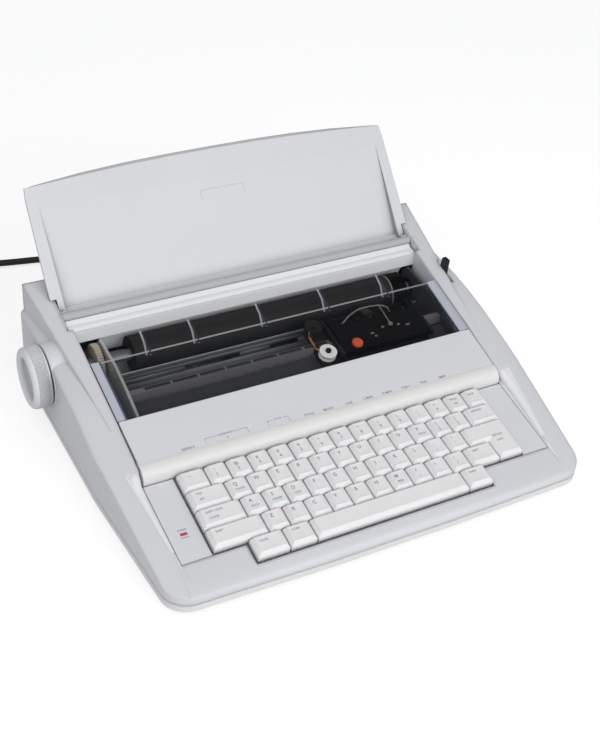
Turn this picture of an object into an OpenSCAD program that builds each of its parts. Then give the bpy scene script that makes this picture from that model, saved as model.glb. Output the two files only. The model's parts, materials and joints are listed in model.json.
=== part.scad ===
// Electronic typewriter with a hinged paper support, a tilting window cover and a daisy-wheel carriage.
// Frame in millimetres: X to the right, Y to the back, Z up, Z = 0 on the underside of the base pan.

/* [Case] */
// Width over the side walls
body_w = 401; // [399:1:406]
// Depth from front wall to rear wall
body_d = 324; // [322:1:330]
// Wall thickness of the upper housing
wall = 3; // [2.6:0.1:3.2]
// Height of the base pan, where the two shells part
pan_h = 12; // [11:0.5:12.5]
// Floor thickness of the base pan
pan_floor = 2.5; // [2:0.1:3]
// Height of the rubber feet
foot_h = 3.5; // [2:0.1:6]
// Radius of the rubber feet
foot_r = 9; // [6:0.5:12]
// Slope of the shoulders beside the keyboard, degrees
tier_slope = 15.35; // [15:0.05:15.6]
// Height of the shoulders at the back
tier_h = 78.5; // [77:0.5:80]
// Radius of the bend in the shoulder line
tier_bend_r = 448; // [430:1:470]
// Width of the rounding on the outer edge of the shoulders
side_r = 18; // [14:0.5:20]
// Slope of the raised block and its covers, degrees
top_slope = 14; // [13.6:0.1:14.4]
// Height of the raised block at the front edge of the window
window_h = 63.5; // [63:0.1:64.5]
// Front edge of the window to the rear wall
window_back = 160; // [159:0.5:161]
// Width of the shoulders on each side of the opening under the covers
shoulder_w = 28.5; // [28.3:0.1:28.7]

/* [Keyboard] */
// Key pitch
pitch = 19.05; // [18.9:0.01:19.1]
// Slope of the keyboard, degrees
key_slope = 10; // [9.6:0.1:10.4]
// Front wall to the back edge of the key field
key_in = 108; // [107:0.5:109]
// Height of the keyboard face at the back edge of the key field
key_h = 38.5; // [38:0.1:39]
// Height of the key tops over the keyboard face
cap_h = 8.5; // [6:0.1:10]
// Gap between neighbouring keys
cap_gap = 0.9; // [0.7:0.05:1.5]
// How much narrower a key is at its top
cap_taper = 5; // [3:0.1:6]
// Side of the square key stems
stem_w = 4.4; // [3.5:0.1:5]
// Key travel
travel = 3.8; // [3:0.1:4]
// Thickness of the key bezel
bezel_t = 3; // [2.5:0.1:3.2]
// Thickness of the key guide plate
guide_t = 2.8; // [2:0.1:3]

/* [Covers] */
// Length of the paper support from its hinge axis
lid_l = 113.8; // [100:0.5:116]
// Width of the paper support
lid_w = 360; // [356:1:362]
// Thickness of the paper support
lid_t = 2.4; // [2:0.1:2.8]
// Angle at which the paper support stands open, degrees
lid_open = 48.7; // [46:0.1:50]
// Radius of the lid hinge pins
hinge_pin_r = 2.5; // [2:0.1:3]
// Thickness of the top cover panel
cover_t = 3; // [2.6:0.1:3.2]
// Radius of the rolled front lip of the top cover
lip_r = 10.4; // [9.6:0.1:10.4]
// How far the rolled lip stands proud of the top cover
lip_proud = 0.5; // [0.3:0.1:1]
// Radius of the top cover pivots
pivot_r = 2; // [1.6:0.1:2.3]
// Thickness of the clear window
window_t = 2.3; // [2:0.1:2.6]
// Thickness of the clear paper fingers
finger_t = 1.6; // [1.2:0.1:2.4]

/* [Paper transport] */
// Radius of the platen
platen_r = 16; // [15.5:0.1:16.1]
// Radius of the platen shaft
shaft_r = 5; // [4:0.1:5.5]
// Radius of the platen knob
knob_r = 27; // [24:0.5:29]
// Thickness of the platen knob
knob_t = 16.5; // [15:0.5:20]
// Radius of the housing boss behind the knob
boss_r = 26; // [24:0.5:27]
// Module of the line-feed gears
gear_m = 0.8; // [0.78:0.01:0.8]
// Radius of the feed shaft
feed_shaft_r = 2.5; // [2:0.1:2.8]
// Radius of the feed rollers
feed_r = 6; // [5.6:0.1:6]
// Thickness of the side frames
frame_t = 2.5; // [2:0.1:3]
// Radius of the pivot of the paper-release lever
lever_pin_r = 3; // [2.5:0.1:3.5]
// Thickness of the paper-release lever
lever_t = 4.5; // [3:0.1:5]

/* [Carriage] */
// Radius of the carriage guide shaft
rail_r = 5; // [4.5:0.1:5.2]
// Radius of the print wheel
daisy_r = 28; // [25:0.5:28.5]
// Radius of the belt pulleys
pulley_r = 7.7; // [7:0.1:8.2]
// Thickness of the belt
belt_t = 1.5; // [1.2:0.1:1.8]
// Width of the belt
belt_w = 6; // [4:0.5:7]

/* [Cord] */
// Diameter of the mains cord
cord_d = 6.5; // [5.5:0.1:6.5]
// Spacing of the turns of the put-away coil
coil_pitch = 7; // [7:0.1:7.4]

/* [Fits] */
// Running clearance of shafts and pivots, on the radius
run_fit = 0.05; // [0.03:0.01:0.1]
// Clearance of sliding and seated pieces
fit = 0.3; // [0.25:0.01:0.35]
// Clearance of pressed and clipped pieces
seat = 0.15; // [0.1:0.01:0.2]

/* [Hidden] */

// Case reference lines
hw = body_w / 2;
yf = -body_d / 2;
yr = body_d / 2;
win_y = yr - window_back;
key_y = yf + key_in;
open_hw = hw - shoulder_w;
big = 400;
screw_x = hw - 16;
screw_ys = [yf + 102, yr - 77];
function plane_z(y) = window_h + (y - win_y) * tan(top_slope);

// Shoulder profile: rounded nose, straight slope, bend, level back
nose_r = 8;
nose_y = yf + 12;
nose_h = 21.4;
function slope_z(y) = nose_h + (y - nose_y) * tan(tier_slope);
nose_z = slope_z(yf + nose_r) - nose_r / cos(tier_slope);
bend_z = tier_h - tier_bend_r * (1 - cos(tier_slope));
bend_y = nose_y + (bend_z - nose_h) / tan(tier_slope);
nose_pts = [for (i = [0:4]) let (t = 180 - i * (90 - tier_slope) / 4)
  [yf + nose_r + nose_r * cos(t), nose_z + nose_r * sin(t)]];
bend_pts = [for (i = [0:5]) let (t = tier_slope * (1 - i / 5))
  [bend_y + tier_bend_r * (sin(tier_slope) - sin(t)), tier_h - tier_bend_r * (1 - cos(t))]];
tier_line = concat(nose_pts, bend_pts, [[yr, tier_h]]);
function side_drop(y) = 3 + 18 * pow(max(0, (yr - 102 - y) / (0.617 * body_d)), 3);
function tier_pts(f, in) = concat(
  [[yf + in, in > 0 ? pan_h - 1 : pan_h]],
  [for (p = tier_line) [min(max(p.x, yf + in), yr - in),
    max(pan_h + 1.5, p.y - f * side_drop(p.x)) - in * 1.04]],
  [[yr - in, in > 0 ? pan_h - 1 : pan_h]]);

// Positions of the working parts, from the rear wall and from the sides of the opening
lip_y = key_y + 12;
lip_z = key_h + 3.83;
lip_to_window = [win_y - lip_y, window_h - lip_z];
panel_slope = atan2(lip_to_window.y, lip_to_window.x) - asin((lip_r - lip_proud) / norm(lip_to_window));
panel_l = lip_to_window.x / cos(panel_slope);
bar_y = yr - 59;
bar_h = 83;
hinge_y = yr - 41.5;
pin_end = open_hw + 10;
lid_e = 4.6;
hinge_z = plane_z(hinge_y) - (lid_e - 0.7) / cos(top_slope);
recess_hw = open_hw + 5;
platen_y = yr - 68;
platen_z = 54.5;
left_x = 24.5 - open_hw;
right_x = open_hw - 9;
platen_x0 = left_x + 23.5;
platen_x1 = right_x - 10;
knob_x = -hw - 1.5;
gear_x = left_x - frame_t - 2;
gear_w = 5.5;
rail_y = yr - 114;
rail_z = 15;
scale_y = yr - 126;
scale_w = 6;
scale_z = 50;
scale_h = 8;
board_x0 = -60;
board_x1 = hw - 50.5;

// Gear train: platen 40 teeth, idler 30, pinion 12
teeth_a = 40;
teeth_b = 30;
teeth_c = 12;
dir_ab = -40;
dir_bc = -60;
ra = gear_m * teeth_a / 2;
rb = gear_m * teeth_b / 2;
rc = gear_m * teeth_c / 2;
idler_y = platen_y + (ra + rb) * cos(dir_ab);
idler_z = platen_z + (ra + rb) * sin(dir_ab);
pinion_y = idler_y + (rb + rc) * cos(dir_bc);
pinion_z = idler_z + (rb + rc) * sin(dir_bc);
phase_a = dir_ab;
phase_b = dir_ab + 180 + 180 / teeth_b;
lead_b = phase_b - dir_bc - 360 / teeth_b * round((phase_b - dir_bc) / (360 / teeth_b));
phase_c = dir_bc + 180 - lead_b * teeth_b / teeth_c + 180 / teeth_c;
feed_dir = -75;
feed_y = platen_y + (platen_r + feed_r + fit) * cos(feed_dir);
feed_z = platen_z + (platen_r + feed_r + fit) * sin(feed_dir);
feed_xs = [for (i = [0:3]) platen_x0 + 34 + 60 * i];
lever_x = hw - 14;
lever_y = yr - 78;
lever_z = 40;

// Carriage
cx = right_x - 68;
daisy_tilt = 20;
hub_y = platen_y - 28.4;
hub_z = platen_z - 19.4;
plate_a = cx - 48;
plate_b = cx + 45;
plate_t = 3;
wing_x = cx - 67;
spool_ys = [22, 52];
hammer_tilt = 10;
strike_y = hub_y + 26 * sin(daisy_tilt);
strike_z = hub_z + 26 * cos(daisy_tilt);
belt_y = yr - 140;
belt_z = 20;
drive_x = right_x - 23;
idle_x = left_x + 12.5;
belt_r = pulley_r + fit;

// Keyboard
key_x = -15.25 * pitch / 2;
lamp = [key_x - 14, -2.68 * pitch];
lamp_w = 5.6;
lamp_d = 2.2;
face_hw = open_hw + 0.5;
guide_z = -2 * bezel_t;
bezel_gap = 0.7;
bezel_back = (lip_y - lip_r - key_y) / cos(key_slope) - 0.4;
plate_back = bezel_back + 1.8;
board_gap = 8.2;
board_t = 1.6;
row1 = concat([[0, 0, 1.25]], [for (i = [0:13]) [1.25 + i, 0, 1]]);
row2 = concat([for (i = [0:11]) [1.75 + i, 1, 1]], [[13.75, 1, 1.5]]);
row3 = [for (i = [0:10]) [2 + i, 2, 1]];
row4 = [for (i = [0:9]) [2.5 + i, 3, 1]];
row5 = [[1.5, 4, 1.5], [3, 4, 1.25], [11.75, 4, 1.25]];
key_tab = [0, 1, 1.75];
key_lock = [0, 2, 2];
key_lshift = [0, 3, 2.5];
key_rshift = [12.5, 3, 1.5];
key_return = [13, 2, 2.25];
key_space = [4.25, 4, 7.5];
all_keys = concat(row1, row2, row3, row4, row5, [key_tab, key_lock, key_lshift, key_rshift, key_return]);
function key_cx(k) = key_x + (k.x + k.z / 2) * pitch;
function key_cy(k) = -(k.y + 0.5) * pitch;

// Cord
cord_r = cord_d / 2;
table_z = -foot_h;
lay_z = table_z + cord_r + 0.1;
gland_x = -70;
gland_z = 22;
gland_l = 30;
coil_c = [-240, yr + 160];
coil_r = 48;
coil_z = table_z + cord_r + 1.5;
turns_in = 3;
turns_up = 0.5;
turns_out = 2.75;
rings = 24;
n_in = turns_in * rings;
n_up = turns_up * rings;
n_out = turns_out * rings;
coil_min_r = coil_r - turns_in * coil_pitch;
function coil_rad(i) = i <= n_in ? coil_r - coil_pitch * i / rings
  : i <= n_in + n_up ? coil_min_r - coil_pitch / 4 * sin(180 * (i - n_in) / n_up)
  : coil_min_r + coil_pitch * (i - n_in - n_up) / rings;
function coil_lift(i) = i <= n_in ? 0
  : i <= n_in + n_up ? coil_pitch * (1 - cos(180 * (i - n_in) / n_up)) / 2 : coil_pitch;
function coil_pt(i) = let (t = 90 + 360 * i / rings)
  [coil_c.x + coil_rad(i) * cos(t), coil_c.y + coil_rad(i) * sin(t), coil_z + coil_lift(i)];
coil_n = n_in + n_up + n_out;
coil_end = coil_pt(coil_n);
coil_path = concat([for (i = [0:coil_n]) coil_pt(i)],
  [coil_end + [0, -8, 0], coil_end + [0, -16, 0]]);
far = 2 * rings / 3;
coil_gap = min([for (i = [0:coil_n], j = [0:coil_n])
  if (j > i + far) norm(coil_pt(j) - coil_pt(i))]) - cord_d;
run_path = [[gland_x, yr + 2 + gland_l, gland_z], [gland_x, yr + 46, 21.2], [gland_x, yr + 58, 18.6],
  [gland_x, yr + 70, 14.4], [gland_x, yr + 82, 9.4], [gland_x, yr + 94, 4.8], [gland_x, yr + 106, 1.6],
  [gland_x, yr + 120, lay_z], [-71, yr + 134, lay_z], [-75, yr + 148, lay_z], [-83, yr + 162, lay_z],
  [-95, yr + 174, lay_z], [-109, yr + 182, lay_z], [-125, yr + 186.4, lay_z], [-142, yr + 189.6, lay_z],
  [-159, yr + 193, lay_z], [-180, yr + 198, lay_z], [-200, yr + 203, lay_z + 0.3],
  [-220, yr + 206.8, lay_z + 0.9], [coil_c.x, coil_c.y + coil_r, coil_z]];
function path_len(p, i = 0) = i >= len(p) - 1 ? 0 : norm(p[i + 1] - p[i]) + path_len(p, i + 1);
echo("coil least gap", coil_gap);
echo("cord length", path_len(run_path) + path_len(coil_path));
plug_x = coil_end.x;
plug_y = coil_end.y - 16;
plug_z = coil_end.z;
tie_r0 = coil_rad(66) - cord_r - fit - seat;
tie_r1 = coil_rad(18) + cord_r + fit + seat;
tie_t = 0.9;

// Helpers
module along_x(x0, x1) translate([x0, 0, 0]) rotate([90, 0, 90]) linear_extrude(x1 - x0) children();
module rod(x0, x1, y, z, r) translate([x0, y, z]) rotate([0, 90, 0]) cylinder(r = r, h = x1 - x0, $fn = 48);
module post(x, y, z0, z1, r) translate([x, y, z0]) cylinder(r = r, h = z1 - z0, $fn = 32);
module box(x0, x1, y0, y1, z0, z1) translate([x0, y0, z0]) cube([x1 - x0, y1 - y0, z1 - z0]);
module on_keys() translate([0, key_y, key_h]) rotate([key_slope, 0, 0]) children();
module on_top() translate([0, win_y, window_h]) rotate([top_slope, 0, 0]) children();
module on_panel() translate([0, win_y, window_h]) rotate([panel_slope, 0, 0]) children();
module on_lid() translate([0, hinge_y, hinge_z]) rotate([lid_open, 0, 0]) children();
module on_wheel() translate([cx, hub_y, hub_z]) rotate([-90 - daisy_tilt, 0, 0]) children();
module on_hammer() translate([cx, strike_y, strike_z]) rotate([90 - hammer_tilt, 0, 0]) children();

// Plan of the case, drawn in by a given amount
module plan(in)
  hull()
    for (s = [-1, 1]) {
      translate([s * (hw - 29), yf + 24.5]) circle(22 - in, $fn = 40);
      translate([s * 60, yf + 30]) circle(30 - in, $fn = 40);
      translate([s * (hw - 12), yf + 142]) circle(12 - in, $fn = 40);
      translate([s * (hw - 6.5), yr - 6.5]) circle(6.5 - in, $fn = 40);
    }

module tier(in)
  intersection() {
    hull()
      for (i = [0:4])
        along_x(-(hw - in - side_r * (1 - sin(22.5 * i))), hw - in - side_r * (1 - sin(22.5 * i)))
          polygon(tier_pts(1 - cos(22.5 * i), in));
    linear_extrude(big) plan(in);
  }

block_y0 = win_y - 6;
function block_hw(y) = hw - 20.5 + (y - win_y) * 0.1;
module block(in)
  intersection() {
    along_x(-hw, hw) polygon([[block_y0 + in, 40], [block_y0 + in, plane_z(block_y0 + in) - in * 1.03],
      [yr - in, plane_z(yr - in) - in * 1.03], [yr - in, 40]]);
    linear_extrude(big) polygon([[-block_hw(block_y0) + in, block_y0], [block_hw(block_y0) - in, block_y0],
      [block_hw(yr) - in, yr], [-block_hw(yr) + in, yr]]);
  }

// Sloping inner side of a shoulder, from the side panel up to the crest
flare = 1.3;
function flare_x(z, g) = face_hw + flare * (z - 0.3) + g * norm([1, flare]);
function flare_z(g) = 0.3 - (0.2 + g * norm([1, flare])) / flare;
module flare_cut(g)
  for (s = [0, 1])
    mirror([s, 0, 0])
      on_keys()
        polyhedron([[face_hw - 0.2, -130, flare_z(g)], [face_hw - 0.2, 4 + g, flare_z(g)],
          [face_hw - 0.2, -130, 20], [face_hw - 0.2, 16 + g, 20], [flare_x(20, g), -130, 20],
          [flare_x(20, g), 16 + g, 20]],
          [[0, 2, 4], [1, 5, 3], [0, 1, 3, 2], [2, 3, 5, 4], [0, 4, 5, 1]]);

module key_recess(g) {
  on_keys() box(-face_hw - g, face_hw + g, -130, 12 + g, -g, 80);
  on_keys() box(-face_hw - g, face_hw + g, -4.05 * pitch - g, 12 + g, -bezel_t - g, 10);
}
module well_cut(g) {
  box(-open_hw - g, open_hw + g, lip_y + 6, bar_y + g, g > 0 ? 72 : 20, big);
  box(-open_hw - g, open_hw + g, lip_y - 1, lip_y + 7, lip_z, big);
}
module lid_cut(g) box(-recess_hw - g, recess_hw + g, bar_y - 1, yr - 12 + g, bar_h - g, big);
module key_holes() {
  box(key_x - 1.2, -key_x + 1.2, -4.05 * pitch, 2.6, -30, 30);
  box(key_x + 1.44 * pitch, key_x + 13.06 * pitch, -5.06 * pitch, -4 * pitch, -30, 30);
}

module upper_housing()
  color("#C9CBCC")
  difference() {
    union() {
      difference() {
        union() {
          tier(0);
          block(0);
        }
        difference() {
          union() {
            tier(wall);
            block(wall);
          }
          key_recess(wall);
          flare_cut(wall);
          well_cut(wall);
          lid_cut(wall);
        }
      }
      for (s = [-1, 1])
        along_x(s * (open_hw + wall / 2) - wall / 2, s * (open_hw + wall / 2) + wall / 2)
          polygon([[lip_y + 4, 38], [bar_y + 1, 38], [bar_y + 1, bar_h - 1], [win_y, window_h - 2],
            [lip_y + 4, plane_z(lip_y + 4) - 3]]);
      along_x(left_x + 1, right_x - 1) polygon([[bar_y + 0.4, bar_h - 3], [bar_y + 3, bar_h - 3],
        [bar_y + 15.2, 48], [bar_y + 12.8, 48]]);
      rod(-open_hw - 2, open_hw + 2, bar_y + 7.5, bar_h - 5.6, 7.4);
      rod(-hw - 0.5, -hw + 17.5, platen_y, platen_z, boss_r);
      for (s = [-1, 1], y = screw_ys) {
        post(s * screw_x, y, pan_h, pan_h + 14, 5);
        box(s * (screw_x + 7) - 7, s * (screw_x + 7) + 7, y - 1.5, y + 1.5, pan_h, pan_h + 14);
      }
    }
    key_recess(0);
    flare_cut(0);
    on_keys() key_holes();
    well_cut(0);
    lid_cut_open();
    rod(-hw - 3, -open_hw + 1, platen_y, platen_z, shaft_r + 4);
    rod(-open_hw - wall - 1, open_hw + wall + 1, lip_y, lip_z, pivot_r + run_fit);
    rod(-open_hw - 0.25, open_hw + 0.25, lip_y, lip_z, lip_r + 0.5);
    rod(-pin_end - 0.5, pin_end + 0.5, hinge_y, hinge_z, hinge_pin_r + seat);
    box(lever_x - fit, lever_x + lever_t + fit, lever_y - 24, lever_y + 1, 56, 100);
    rod(open_hw - 1, open_hw + wall + 1, lever_y, lever_z, lever_pin_r + 2);
    translate([gland_x, yr - 8, gland_z]) rotate([-90, 0, 0]) cylinder(r = 6 + seat, h = 12, $fn = 40);
    for (s = [-1, 1], y = screw_ys)
      post(s * screw_x, y, pan_h - 1, pan_h + 12, 1.5 + seat);
  }

// The lid recess keeps the rolled rear bar standing in it
module lid_cut_open()
  difference() {
    lid_cut(0);
    rod(-open_hw - 2, open_hw + 2, bar_y + 7.5, bar_h - 5.6, 7.4);
  }

module base_pan()
  color("#BFC1C2")
  difference() {
    union() {
      difference() {
        union() {
          hull() {
            translate([0, 0, 5.5]) linear_extrude(pan_h - 6.7) plan(0);
            linear_extrude(0.1) plan(6);
          }
          translate([0, 0, 8]) linear_extrude(pan_h - 8) plan(0.8);
        }
        translate([0, 0, pan_floor]) linear_extrude(pan_h) plan(6);
      }
      for (s = [-1, 1], y = screw_ys)
        post(s * screw_x, y, 0, pan_h, 6);
      for (x = [board_x0 + 8, board_x1 - 8], y = [yr - 46, yr - 14])
        post(x, y, pan_floor - 0.5, 8, 3);
      post(idle_x, belt_y, pan_floor - 0.5, belt_z - fit, 5);
      post(idle_x, belt_y, pan_floor - 0.5, belt_z + belt_w + 2, 3);
    }
    for (s = [-1, 1], y = screw_ys) {
      post(s * screw_x, y, -1, 6, 3.5 + seat);
      post(s * screw_x, y, -1, pan_h + 1, 1.5 + seat);
    }
  }

module rubber_feet()
  color("#2B2B2C")
  for (x = [35.5 - hw, hw - 35.5], y = [yf + 32, yr - 32])
    post(x, y, -foot_h, 0, foot_r);

module case_screws()
  color("#9A9DA0")
  for (s = [-1, 1], y = screw_ys) {
    post(s * screw_x, y, 3.5, 6, 3.5);
    post(s * screw_x, y, 5, pan_h + 11, 1.5);
  }

module keyboard_bezel()
  color("#D4D6D8")
  on_keys()
    difference() {
      box(-face_hw + bezel_gap, face_hw - bezel_gap, -4.05 * pitch + bezel_gap, bezel_back, -bezel_t, 0);
      key_holes();
      translate([0, 0, -bezel_t - 1]) linear_extrude(bezel_t + 2)
        pad(lamp.x, lamp.y, lamp_w + 2 * seat, lamp_d + 2 * seat, 0.5);
    }

module power_lamp()
  color("#C0281E")
  on_keys() translate([0, 0, -bezel_t]) linear_extrude(bezel_t + 0.5) pad(lamp.x, lamp.y, lamp_w, lamp_d, 0.5);

module keyboard_plate()
  color("#3A3C3F")
  on_keys() {
    difference() {
      box(key_x - 12, -key_x + 12, -5.2 * pitch, plate_back, guide_z - guide_t, guide_z);
      for (k = all_keys)
        stem_at(key_cx(k), key_cy(k), stem_w + 2 * fit, guide_z - guide_t - 1, guide_z + 1);
      for (s = [-1, 1])
        stem_at(key_cx(key_space) + s * 2 * pitch, key_cy(key_space), stem_w + 2 * fit,
          guide_z - guide_t - 1, guide_z + 1);
    }
    for (x = [key_x - 8, -key_x + 8], y = [plate_back - 4, -4.95 * pitch])
      translate([x, y, guide_z - guide_t - board_gap]) cylinder(r = 2.5, h = board_gap + 0.5, $fn = 24);
  }

module key_circuit()
  color("#2F6B45")
  on_keys() box(key_x - 11, -key_x + 11, -5.15 * pitch, plate_back - 1,
    guide_z - guide_t - board_gap - board_t, guide_z - guide_t - board_gap);

module stem_at(x, y, w, z0, z1) box(x - w / 2, x + w / 2, y - w / 2, y + w / 2, z0, z1);
module pad(x, y, w, d, r)
  translate([x, y]) offset(r = r, $fn = 8) square([w - 2 * r, d - 2 * r], center = true);
module cap(x, y, w, d)
  hull() {
    translate([0, 0, -1.5]) linear_extrude(1) pad(x, y, w - cap_gap, d - cap_gap, 1);
    translate([0, 0, cap_h - 0.02]) linear_extrude(0.02)
      pad(x, y + 0.6, w - cap_gap - cap_taper, d - cap_gap - cap_taper + 0.6, 2);
  }
module key(k) {
  cap(key_cx(k), key_cy(k), k.z * pitch, pitch);
  stem_at(key_cx(k), key_cy(k), stem_w, guide_z - guide_t - travel + 0.1, 0);
}
module row1_keys() color("#DDDFE1") on_keys() for (k = row1) key(k);
module row2_keys() color("#DDDFE1") on_keys() for (k = row2) key(k);
module row3_keys() color("#DDDFE1") on_keys() for (k = row3) key(k);
module row4_keys() color("#DDDFE1") on_keys() for (k = row4) key(k);
module row5_keys() color("#DDDFE1") on_keys() for (k = row5) key(k);
module tab_key() color("#DDDFE1") on_keys() key(key_tab);
module lock_key() color("#DDDFE1") on_keys() key(key_lock);
module left_shift_key() color("#DDDFE1") on_keys() key(key_lshift);
module right_shift_key() color("#DDDFE1") on_keys() key(key_rshift);
module return_key()
  color("#DDDFE1")
  on_keys() {
    key(key_return);
    cap(key_x + 14.625 * pitch, -3 * pitch, 1.25 * pitch, 2 * pitch);
  }
module space_bar()
  color("#DDDFE1")
  on_keys() {
    cap(key_cx(key_space), key_cy(key_space), key_space.z * pitch, pitch);
    for (s = [-1, 1])
      stem_at(key_cx(key_space) + s * 2 * pitch, key_cy(key_space), stem_w,
        guide_z - guide_t - travel + 0.1, 0);
  }

// Paper support: rims in the closing plane, a bowed panel between them, a barrel on the hinge axis
lid_hw = lid_w / 2;
lid_neck = 17;
panel_hw = open_hw - 3;
function bow_n(s) = lid_e + 6.8 * pow(max(0, 1 - s / (lid_l - 14)), 1.3);
bow_s = [for (i = [0:7]) 9 + i * (lid_l - 14 - 9) / 7];
bow_in = concat([[2, -2.6], [4.6, -7.4]], [for (s = bow_s) [s, -bow_n(s)]]);
bow_out = [for (i = [len(bow_in) - 1:-1:0]) bow_in[i] + [i < 2 ? -1.4 : 0, -lid_t]];
top_pts = [for (i = [-4:4]) let (x = i * (lid_hw - 12) / 4) [x, lid_l + 3.5 + 7 * (1 - pow(i / 4, 2))]];
module lid_outline()
  polygon(concat([[-open_hw - 2.5, 4], [open_hw + 2.5, 4], [open_hw + 2.5, lid_neck],
    [lid_hw, lid_neck], [lid_hw, 30], [lid_hw - 2.5, lid_l - 9], [lid_hw - 5.5, lid_l]],
    [for (i = [8:-1:0]) top_pts[i]],
    [[-lid_hw + 5.5, lid_l], [-lid_hw + 2.5, lid_l - 9], [-lid_hw, 30],
    [-lid_hw, lid_neck], [-open_hw - 2.5, lid_neck]]));
module paper_support()
  color("#C9CBCC")
  on_lid()
    difference() {
      union() {
        difference() {
          translate([0, 0, -lid_e - lid_t]) linear_extrude(lid_t) lid_outline();
          box(-panel_hw, panel_hw, 0, lid_l - 15, -30, 10);
        }
        along_x(-panel_hw - 0.5, panel_hw + 0.5) polygon(concat(bow_in, bow_out));
        for (s = [-1, 1])
          along_x(s * (panel_hw + 1) - 1.2, s * (panel_hw + 1) + 1.2)
            polygon(concat([[2, -2.6], [9, -lid_e], [lid_l - 14, -lid_e]],
              [for (i = [0:len(bow_out) - 2]) bow_out[i]]));
        rod(-open_hw - 3.5, open_hw + 3.5, 0, 0, 4);
        for (s = [-1, 1])
          box(s * (panel_hw + 3) - 3.5, s * (panel_hw + 3) + 3.5, 1, 5.5, -lid_e - lid_t, 0);
      }
      for (s = [-1, 1])
        rod(s * (open_hw - 1) - 6, s * (open_hw - 1) + 6, 0, 0, hinge_pin_r + run_fit);
    }

module lid_hinge_pins()
  color("#8E9194")
  for (s = [-1, 1])
    rod(s * (pin_end - 8) - 8, s * (pin_end - 8) + 8, hinge_y, hinge_z, hinge_pin_r);

cover_hw = open_hw - 1;
module top_cover()
  color("#C9CBCC") {
    on_panel() box(-cover_hw + 0.4, cover_hw - 0.4, 1.2 - panel_l, -0.5, -cover_t, 0);
    for (s = [-1, 1])
      on_panel() box(s * (cover_hw - 3) - 1.5, s * (cover_hw - 3) + 1.5, 7.3 - panel_l, -3, -cover_t - 6, -1);
    difference() {
      rod(-cover_hw, cover_hw, lip_y, lip_z, lip_r);
      rod(-cover_hw + 5, cover_hw - 5, lip_y, lip_z, lip_r - cover_t);
      box(-cover_hw + 5, cover_hw - 5, lip_y - 5, lip_y + 5, lip_z - lip_r - 1, lip_z - 4);
    }
    rod(-open_hw - wall + 0.2, open_hw + wall - 0.2, lip_y, lip_z, pivot_r);
  }

// Clear window with raised side rails and five paper fingers
tear = 63.4;
plate_n = -1.2;
rail_in = 9;
finger_x = [54.5 - open_hw, 99.5 - open_hw, -6.5, open_hw - 115, open_hw - 52.5];
module window()
  color("#B9C2D6")
  on_top() {
    translate([0, tear, 0]) rotate([90, 0, 0]) linear_extrude(tear - 0.3) polygon(concat(
      [[-cover_hw, -0.3], [-cover_hw + rail_in - 2, -0.3], [-cover_hw + rail_in, plate_n],
      [cover_hw - rail_in, plate_n], [cover_hw - rail_in + 2, -0.3], [cover_hw, -0.3]],
      [[cover_hw, -12], [cover_hw - 2, -12], [cover_hw - 2, -window_t], [cover_hw - rail_in + 3, -window_t],
      [cover_hw - rail_in, plate_n - window_t], [-cover_hw + rail_in, plate_n - window_t],
      [-cover_hw + rail_in - 3, -window_t], [-cover_hw + 2, -window_t], [-cover_hw + 2, -12],
      [-cover_hw, -12]]));
    box(-cover_hw + rail_in + 1, cover_hw - rail_in - 1, -7, 3, -cover_t - 2 - seat, -cover_t - seat);
    for (x = finger_x)
      along_x(x - finger_t / 2, x + finger_t / 2) polygon([[tear - 4, plate_n - 0.4], [tear, plate_n],
        [tear + 24, plate_n], [tear + 24, -2.8], [tear + 13, -5.5], [tear + 8, -10], [tear + 5.5, -13],
        [tear + 3.5, -12], [tear + 1, -7], [tear - 4, -3]]);
  }

// Side frames
function frame_pts() = [[yr - 156, pan_floor], [yr - 156, 40], [yr - 150, 52], [yr - 124, 62],
  [yr - 98, 70], [yr - 62, 73], [yr - 56, 66], [yr - 49, 48], [yr - 38, 44], [yr - 22, 30],
  [yr - 22, pan_floor]];
module frame_plate(x0)
  difference() {
    along_x(x0, x0 + frame_t) polygon(frame_pts());
    rod(x0 - 1, x0 + frame_t + 1, platen_y, platen_z, shaft_r + 3 + seat);
    rod(x0 - 1, x0 + frame_t + 1, rail_y, rail_z, rail_r + seat);
    rod(x0 - 1, x0 + frame_t + 1, feed_y, feed_z, feed_shaft_r + run_fit);
    rod(x0 - 1, x0 + frame_t + 1, pinion_y, pinion_z, 4);
  }
module left_side_frame()
  color("#A9ACAF") {
    frame_plate(left_x - frame_t);
    rod(gear_x - gear_w - 1.5, left_x - frame_t + 0.5, idler_y, idler_z, 3);
  }
module right_side_frame()
  color("#A9ACAF") {
    frame_plate(right_x);
    rod(right_x + frame_t - 0.5, lever_x + lever_t + 1, lever_y, lever_z, lever_pin_r);
  }
module platen_bushes()
  color("#C9A15A")
  for (x = [left_x - frame_t, right_x])
    difference() {
      union() {
        rod(x - 1.2, x + frame_t + 1.2, platen_y, platen_z, shaft_r + 3);
        rod(x + frame_t, x + frame_t + 1.5, platen_y, platen_z, shaft_r + 5);
      }
      rod(x - 3, x + frame_t + 3, platen_y, platen_z, shaft_r + run_fit);
    }
module carriage_shaft()
  color("#C4C8CC")
  rod(left_x - frame_t - 1, right_x + frame_t + 1, rail_y, rail_z, rail_r);
module line_scale()
  color("#8F9296")
  box(left_x, right_x, scale_y, scale_y + scale_w, scale_z, scale_z + scale_h);
module well_tray()
  color("#444547")
  along_x(left_x, right_x) polygon([[yr - 156, 43], [yr - 154.5, 41.5], [scale_y - 1, 47.5],
    [scale_y - 1, 49.5]]);
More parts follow.
